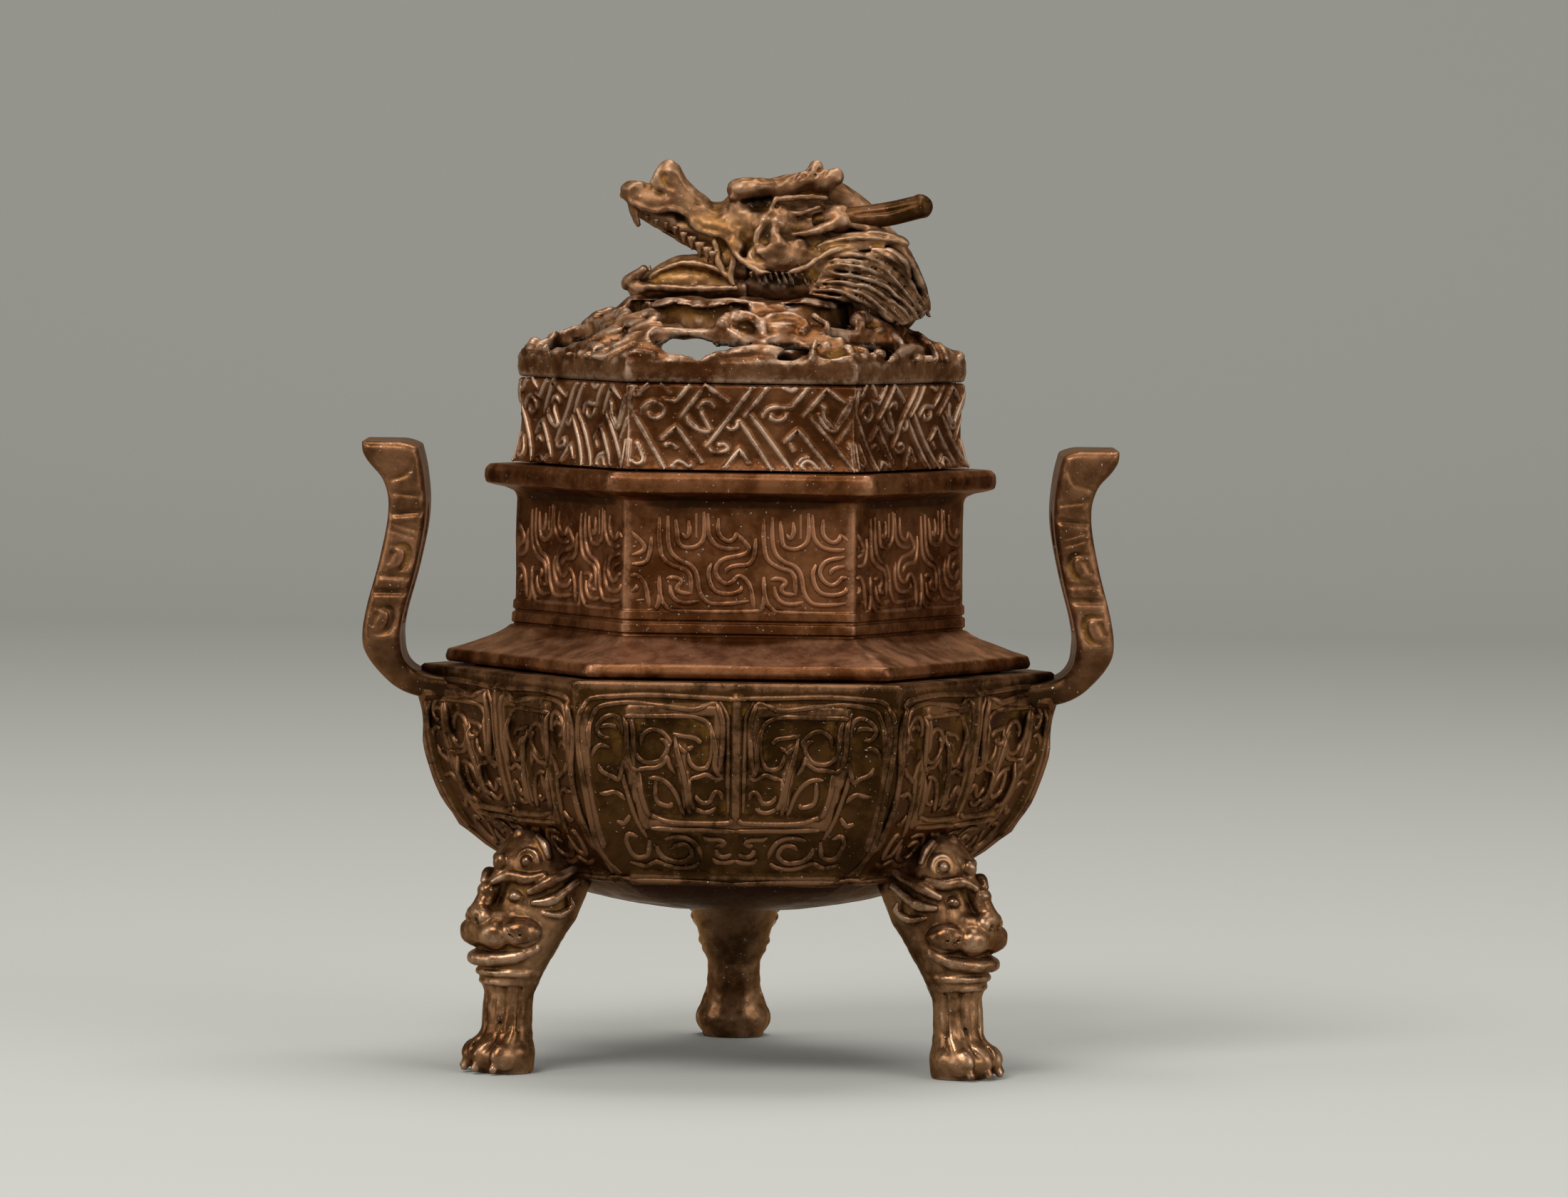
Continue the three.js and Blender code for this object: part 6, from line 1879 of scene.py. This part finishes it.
def teeth_tree():
    """Pointed teeth at the points of a path, each with its own length."""
    sockets = {"Width": "Float", "Length": "Float", "Material": "Material"}
    tree, given, result = geometry_tree("Teeth along a lip", **sockets)
    shape = {
        "Vertices": 8,
        "Side Segments": 3,
        "Radius Top": 0.04 * MM,
        "Radius Bottom": given["Width"],
        "Depth": given["Length"],
    }
    row = {
        "Points": given["Geometry"],
        "Instance": node(tree, "GeometryNodeMeshCone", shape).outputs[0],
        "Rotation": stored(tree, "lean", "FLOAT_VECTOR"),
        "Scale": stored(tree, "length"),
    }
    set_in = node(tree, "GeometryNodeInstanceOnPoints", row)
    whole = node(tree, "GeometryNodeRealizeInstances", {"Geometry": set_in.outputs[0]})
    return dressed(tree, given, result, whole.outputs[0])


# Place of a tooth's middle and its length as a share of a common one
UPPER_TEETH = [
    (-12.2, 2.3, 106.9, 0.8), (-11.0, 2.5, 106.5, 0.9), (-9.8, 2.7, 106.1, 0.8), (-8.6, 2.95, 105.6, 1.1),
    (-7.5, 3.3, 104.9, 1.5), (-6.5, 3.6, 104.4, 1.7), (-5.5, 3.9, 103.7, 1.8), (-4.5, 4.2, 103.1, 1.8),
    (-3.8, 4.5, 102.6, 1.7),
]
LOWER_TEETH = [(-11.8, 2.7, 99.9, 0.7), (-10.6, 2.9, 99.8, 0.6)]


def teeth(name, spots, up, material):
    """Rows of teeth on both sides of the mouth, from places in millimetres and a share of length."""
    both = [(spot, side) for spot in spots for side in (-1, 1)]
    points = [(x, side * y, z) for (x, y, z, _), side in both]
    made = new_object(name, np.array(points) + (0, AXIS_Y, 0), [])
    store(made.data, "length", "FLOAT", [share for (*_, share), _ in both])
    flip = 0 if up else math.pi
    store(made.data, "lean", "FLOAT_VECTOR", [(0.1 * side, flip, 0) for _, side in both])
    return grown_by(made, teeth_tree(), {"Width": 0.42 * MM, "Length": 1.05 * MM, "Material": material})


def dragon_tone(x, y, z):
    """Earth in the mouth and round the cheek, a darker mane, painted shade in the hollows and a painted
    shadow under the cheek.
    """

    def spot(at, half):
        return np.clip(1.6 - 1.6 * np.hypot((x - at[0]) / half[0], (z - at[1]) / half[1]), 0, 1)

    mouth = smoothstep(-x, 0.2, 2) * smoothstep(x, -13, -11)
    mouth = mouth * smoothstep(z, 98, 99) * smoothstep(-z, -105, -103.6)
    earth = 0.45 * mouth + 0.45 * spot((-4, 106), (4, 2)) + 0.4 * spot((0.6, 104), (2.6, 4))
    earth = earth + 0.45 * spot((11, 103), (4, 2.6))
    mane = smoothstep(x, 9, 14) * smoothstep(-z, -103.5, -101.5)
    # painted shade in the hollows behind the ear, along the cheek and in the eye socket
    painted_shade_in_hollows = 0.7 * spot((2.8, 105), (0.9, 1.9)) + 0.45 * spot((3.3, 101.9), (3.2, 1.3))
    painted_shade_in_hollows = painted_shade_in_hollows + 0.8 * spot((1.9, 108.5), (2.2, 1.2))
    # and a painted shadow under the cheek
    return earth - 0.55 * mane - painted_shade_in_hollows - 0.9 * spot((4.6, 98.9), (5.5, 1.6))


class BURNER_OT_dragon(bpy.types.Operator):
    """Dragon's head with its lower jaw, horns and teeth"""

    bl_idname = "burner.dragon"
    bl_label = "Dragon"

    def execute(self, context):
        step = sizes().head_grain / MM
        place = placed()
        finish = bronze("dragon")
        horn = horn_clay(step)
        pieces = [
            (head_clay(step).skin("dragon_skull", place), ["dragon_head"]),
            (jaw_clay(step).skin("dragon_lower_jaw", place), ["dragon_jaw"]),
            (horn.skin("dragon_rear_horn", place), ["dragon_horn_rear"]),
            (teeth("dragon_upper_teeth", UPPER_TEETH, False, finish), []),
            (teeth("dragon_lower_teeth", LOWER_TEETH, True, finish), []),
        ]
        # the front horn mirrors the rear one
        horn.axes[1], horn.field = -horn.axes[1][::-1], horn.field[:, ::-1]
        horn.low[1] = horn.axes[1][0]
        pieces.append((horn.skin("dragon_front_horn", place), ["dragon_horn_front"]))
        for made, nodes in pieces:
            dress = bronze("horn") if "horn" in made.name else finish
            finish_piece(made, "lid_body", "lid_bronze", dress, *nodes, tone=dragon_tone)
        return {"FINISHED"}


class BURNER_OT_rivets(bpy.types.Operator):
    """Finish of the rivets and of the washer, which keep their solids"""

    bl_idname = "burner.rivets"
    bl_label = "Rivets"

    def execute(self, context):
        for name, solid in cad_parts.items():
            if "rivet" in name:
                solid.data.materials.clear()
                solid.data.materials.append(bronze("rivet"))
        return {"FINISHED"}


def stage_floor():
    """Pale floor that curves up behind."""
    front, bend, radius, height, half_width = -3.0, 1.05, 0.5, 3.0, 4
    sweep = [(front, 0.0), (bend, 0.0)]
    for a in np.linspace(0.1, math.pi / 2, 12):
        sweep.append((bend + radius * math.sin(a), radius - radius * math.cos(a)))
    sweep.append((bend + radius, height))
    points = [(x / MM, y / MM, z / MM) for x in (-half_width, half_width) for y, z in sweep]
    count = len(sweep)
    faces = [(i, count + i, count + i + 1, i + 1) for i in range(count - 1)]
    floor = new_object("floor", points, faces)
    floor.data.shade_smooth()
    material = bpy.data.materials.new("floor")
    material.use_nodes = True
    shader = material.node_tree.nodes["Principled BSDF"]
    shader.inputs["Base Color"].default_value = (*finishes().floor, 1)
    shader.inputs["Roughness"].default_value = 0.9
    floor.data.materials.append(material)


def stage_lights(scene):
    """Bright surroundings and soft lamps."""
    world = bpy.data.worlds.new("studio")
    world.use_nodes = True
    sky = world.node_tree.nodes["Background"]
    sky.inputs["Color"].default_value = (1, 0.99, 0.97, 1)
    sky.inputs["Strength"].default_value = 0.55
    scene.world = world
    # name, place, width and power
    lamps = (
        ("key", (-0.35, -0.7, 0.85), 0.5, 9.0),
        ("fill", (0.75, -0.75, 0.5), 0.7, 4.0),
        ("top", (0.1, 0.2, 1.0), 0.6, 6.0),
        ("left", (-0.95, -0.3, 0.35), 0.6, 2.6),
        ("right", (0.95, -0.3, 0.35), 0.6, 1.3),
    )
    burner_middle = Vector((0, 0, 0.06))
    for name, spot, width, power in lamps:
        lamp = bpy.data.lights.new(name, "AREA")
        lamp.shape = "DISK"
        lamp.size = width
        lamp.energy = power
        made = bpy.data.objects.new(name, lamp)
        made.location = spot
        made.rotation_euler = (burner_middle - Vector(spot)).to_track_quat("-Z", "Y").to_euler()
        scene.collection.objects.link(made)


def stage_camera(scene):
    """The camera, set as in the photo."""
    camera = bpy.data.cameras.new("camera")
    camera.lens = sizes().lens
    camera.sensor_width = 36
    made = bpy.data.objects.new("camera", camera)
    turn, rise, roll = math.radians(-0.24), math.radians(2.77), math.radians(0.82)
    back = Vector((math.sin(turn) * math.cos(rise), -math.cos(turn) * math.cos(rise), math.sin(rise)))
    aim = Vector((0.00572, 0, 0.05869))
    made.location = aim + back * sizes().camera_distance
    made.rotation_mode = "QUATERNION"
    lean = Matrix.Rotation(roll, 3, "Z").to_quaternion()
    made.rotation_quaternion = (-back).to_track_quat("-Z", "Y") @ lean
    scene.collection.objects.link(made)
    scene.camera = made
    scene.view_settings.view_transform = "Standard"


class BURNER_OT_stage(bpy.types.Operator):
    """Pale floor that curves up behind, soft lights and the camera"""

    bl_idname = "burner.stage"
    bl_label = "Stage"

    def execute(self, context):
        stage_floor()
        stage_lights(context.scene)
        stage_camera(context.scene)
        return {"FINISHED"}


PIECES = (
    BURNER_OT_bowl,
    BURNER_OT_collar,
    BURNER_OT_gallery,
    BURNER_OT_handles,
    BURNER_OT_legs,
    BURNER_OT_lid,
    BURNER_OT_dragon,
    BURNER_OT_rivets,
    BURNER_OT_stage,
)


class BURNER_PT_panel(bpy.types.Panel):
    """Pieces, sizes and colours of the burner"""

    bl_idname = "BURNER_PT_panel"
    bl_label = "Incense Burner"
    bl_space_type = "VIEW_3D"
    bl_region_type = "UI"
    bl_category = "Burner"

    def draw(self, context):
        for piece in PIECES:
            self.layout.operator(piece.bl_idname)
        for group in (context.scene.burner_sizes, context.scene.burner_finishes):
            for name in group.__annotations__:
                self.layout.prop(group, name)


CLASSES = (BURNER_PG_sizes, BURNER_PG_finishes, *PIECES, BURNER_PT_panel)


def register():
    for kind in CLASSES:
        bpy.utils.register_class(kind)
    bpy.types.Scene.burner_sizes = bpy.props.PointerProperty(type=BURNER_PG_sizes)
    bpy.types.Scene.burner_finishes = bpy.props.PointerProperty(type=BURNER_PG_finishes)


def unregister():
    del bpy.types.Scene.burner_finishes
    del bpy.types.Scene.burner_sizes
    for kind in reversed(CLASSES):
        bpy.utils.unregister_class(kind)


def main():
    register()
    bpy.ops.burner.bowl()
    bpy.ops.burner.collar()
    bpy.ops.burner.gallery()
    bpy.ops.burner.handles()
    bpy.ops.burner.legs()
    bpy.ops.burner.lid()
    bpy.ops.burner.dragon()
    bpy.ops.burner.rivets()
    bpy.ops.burner.stage()
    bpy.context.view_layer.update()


if __name__ == "__main__":
    main()
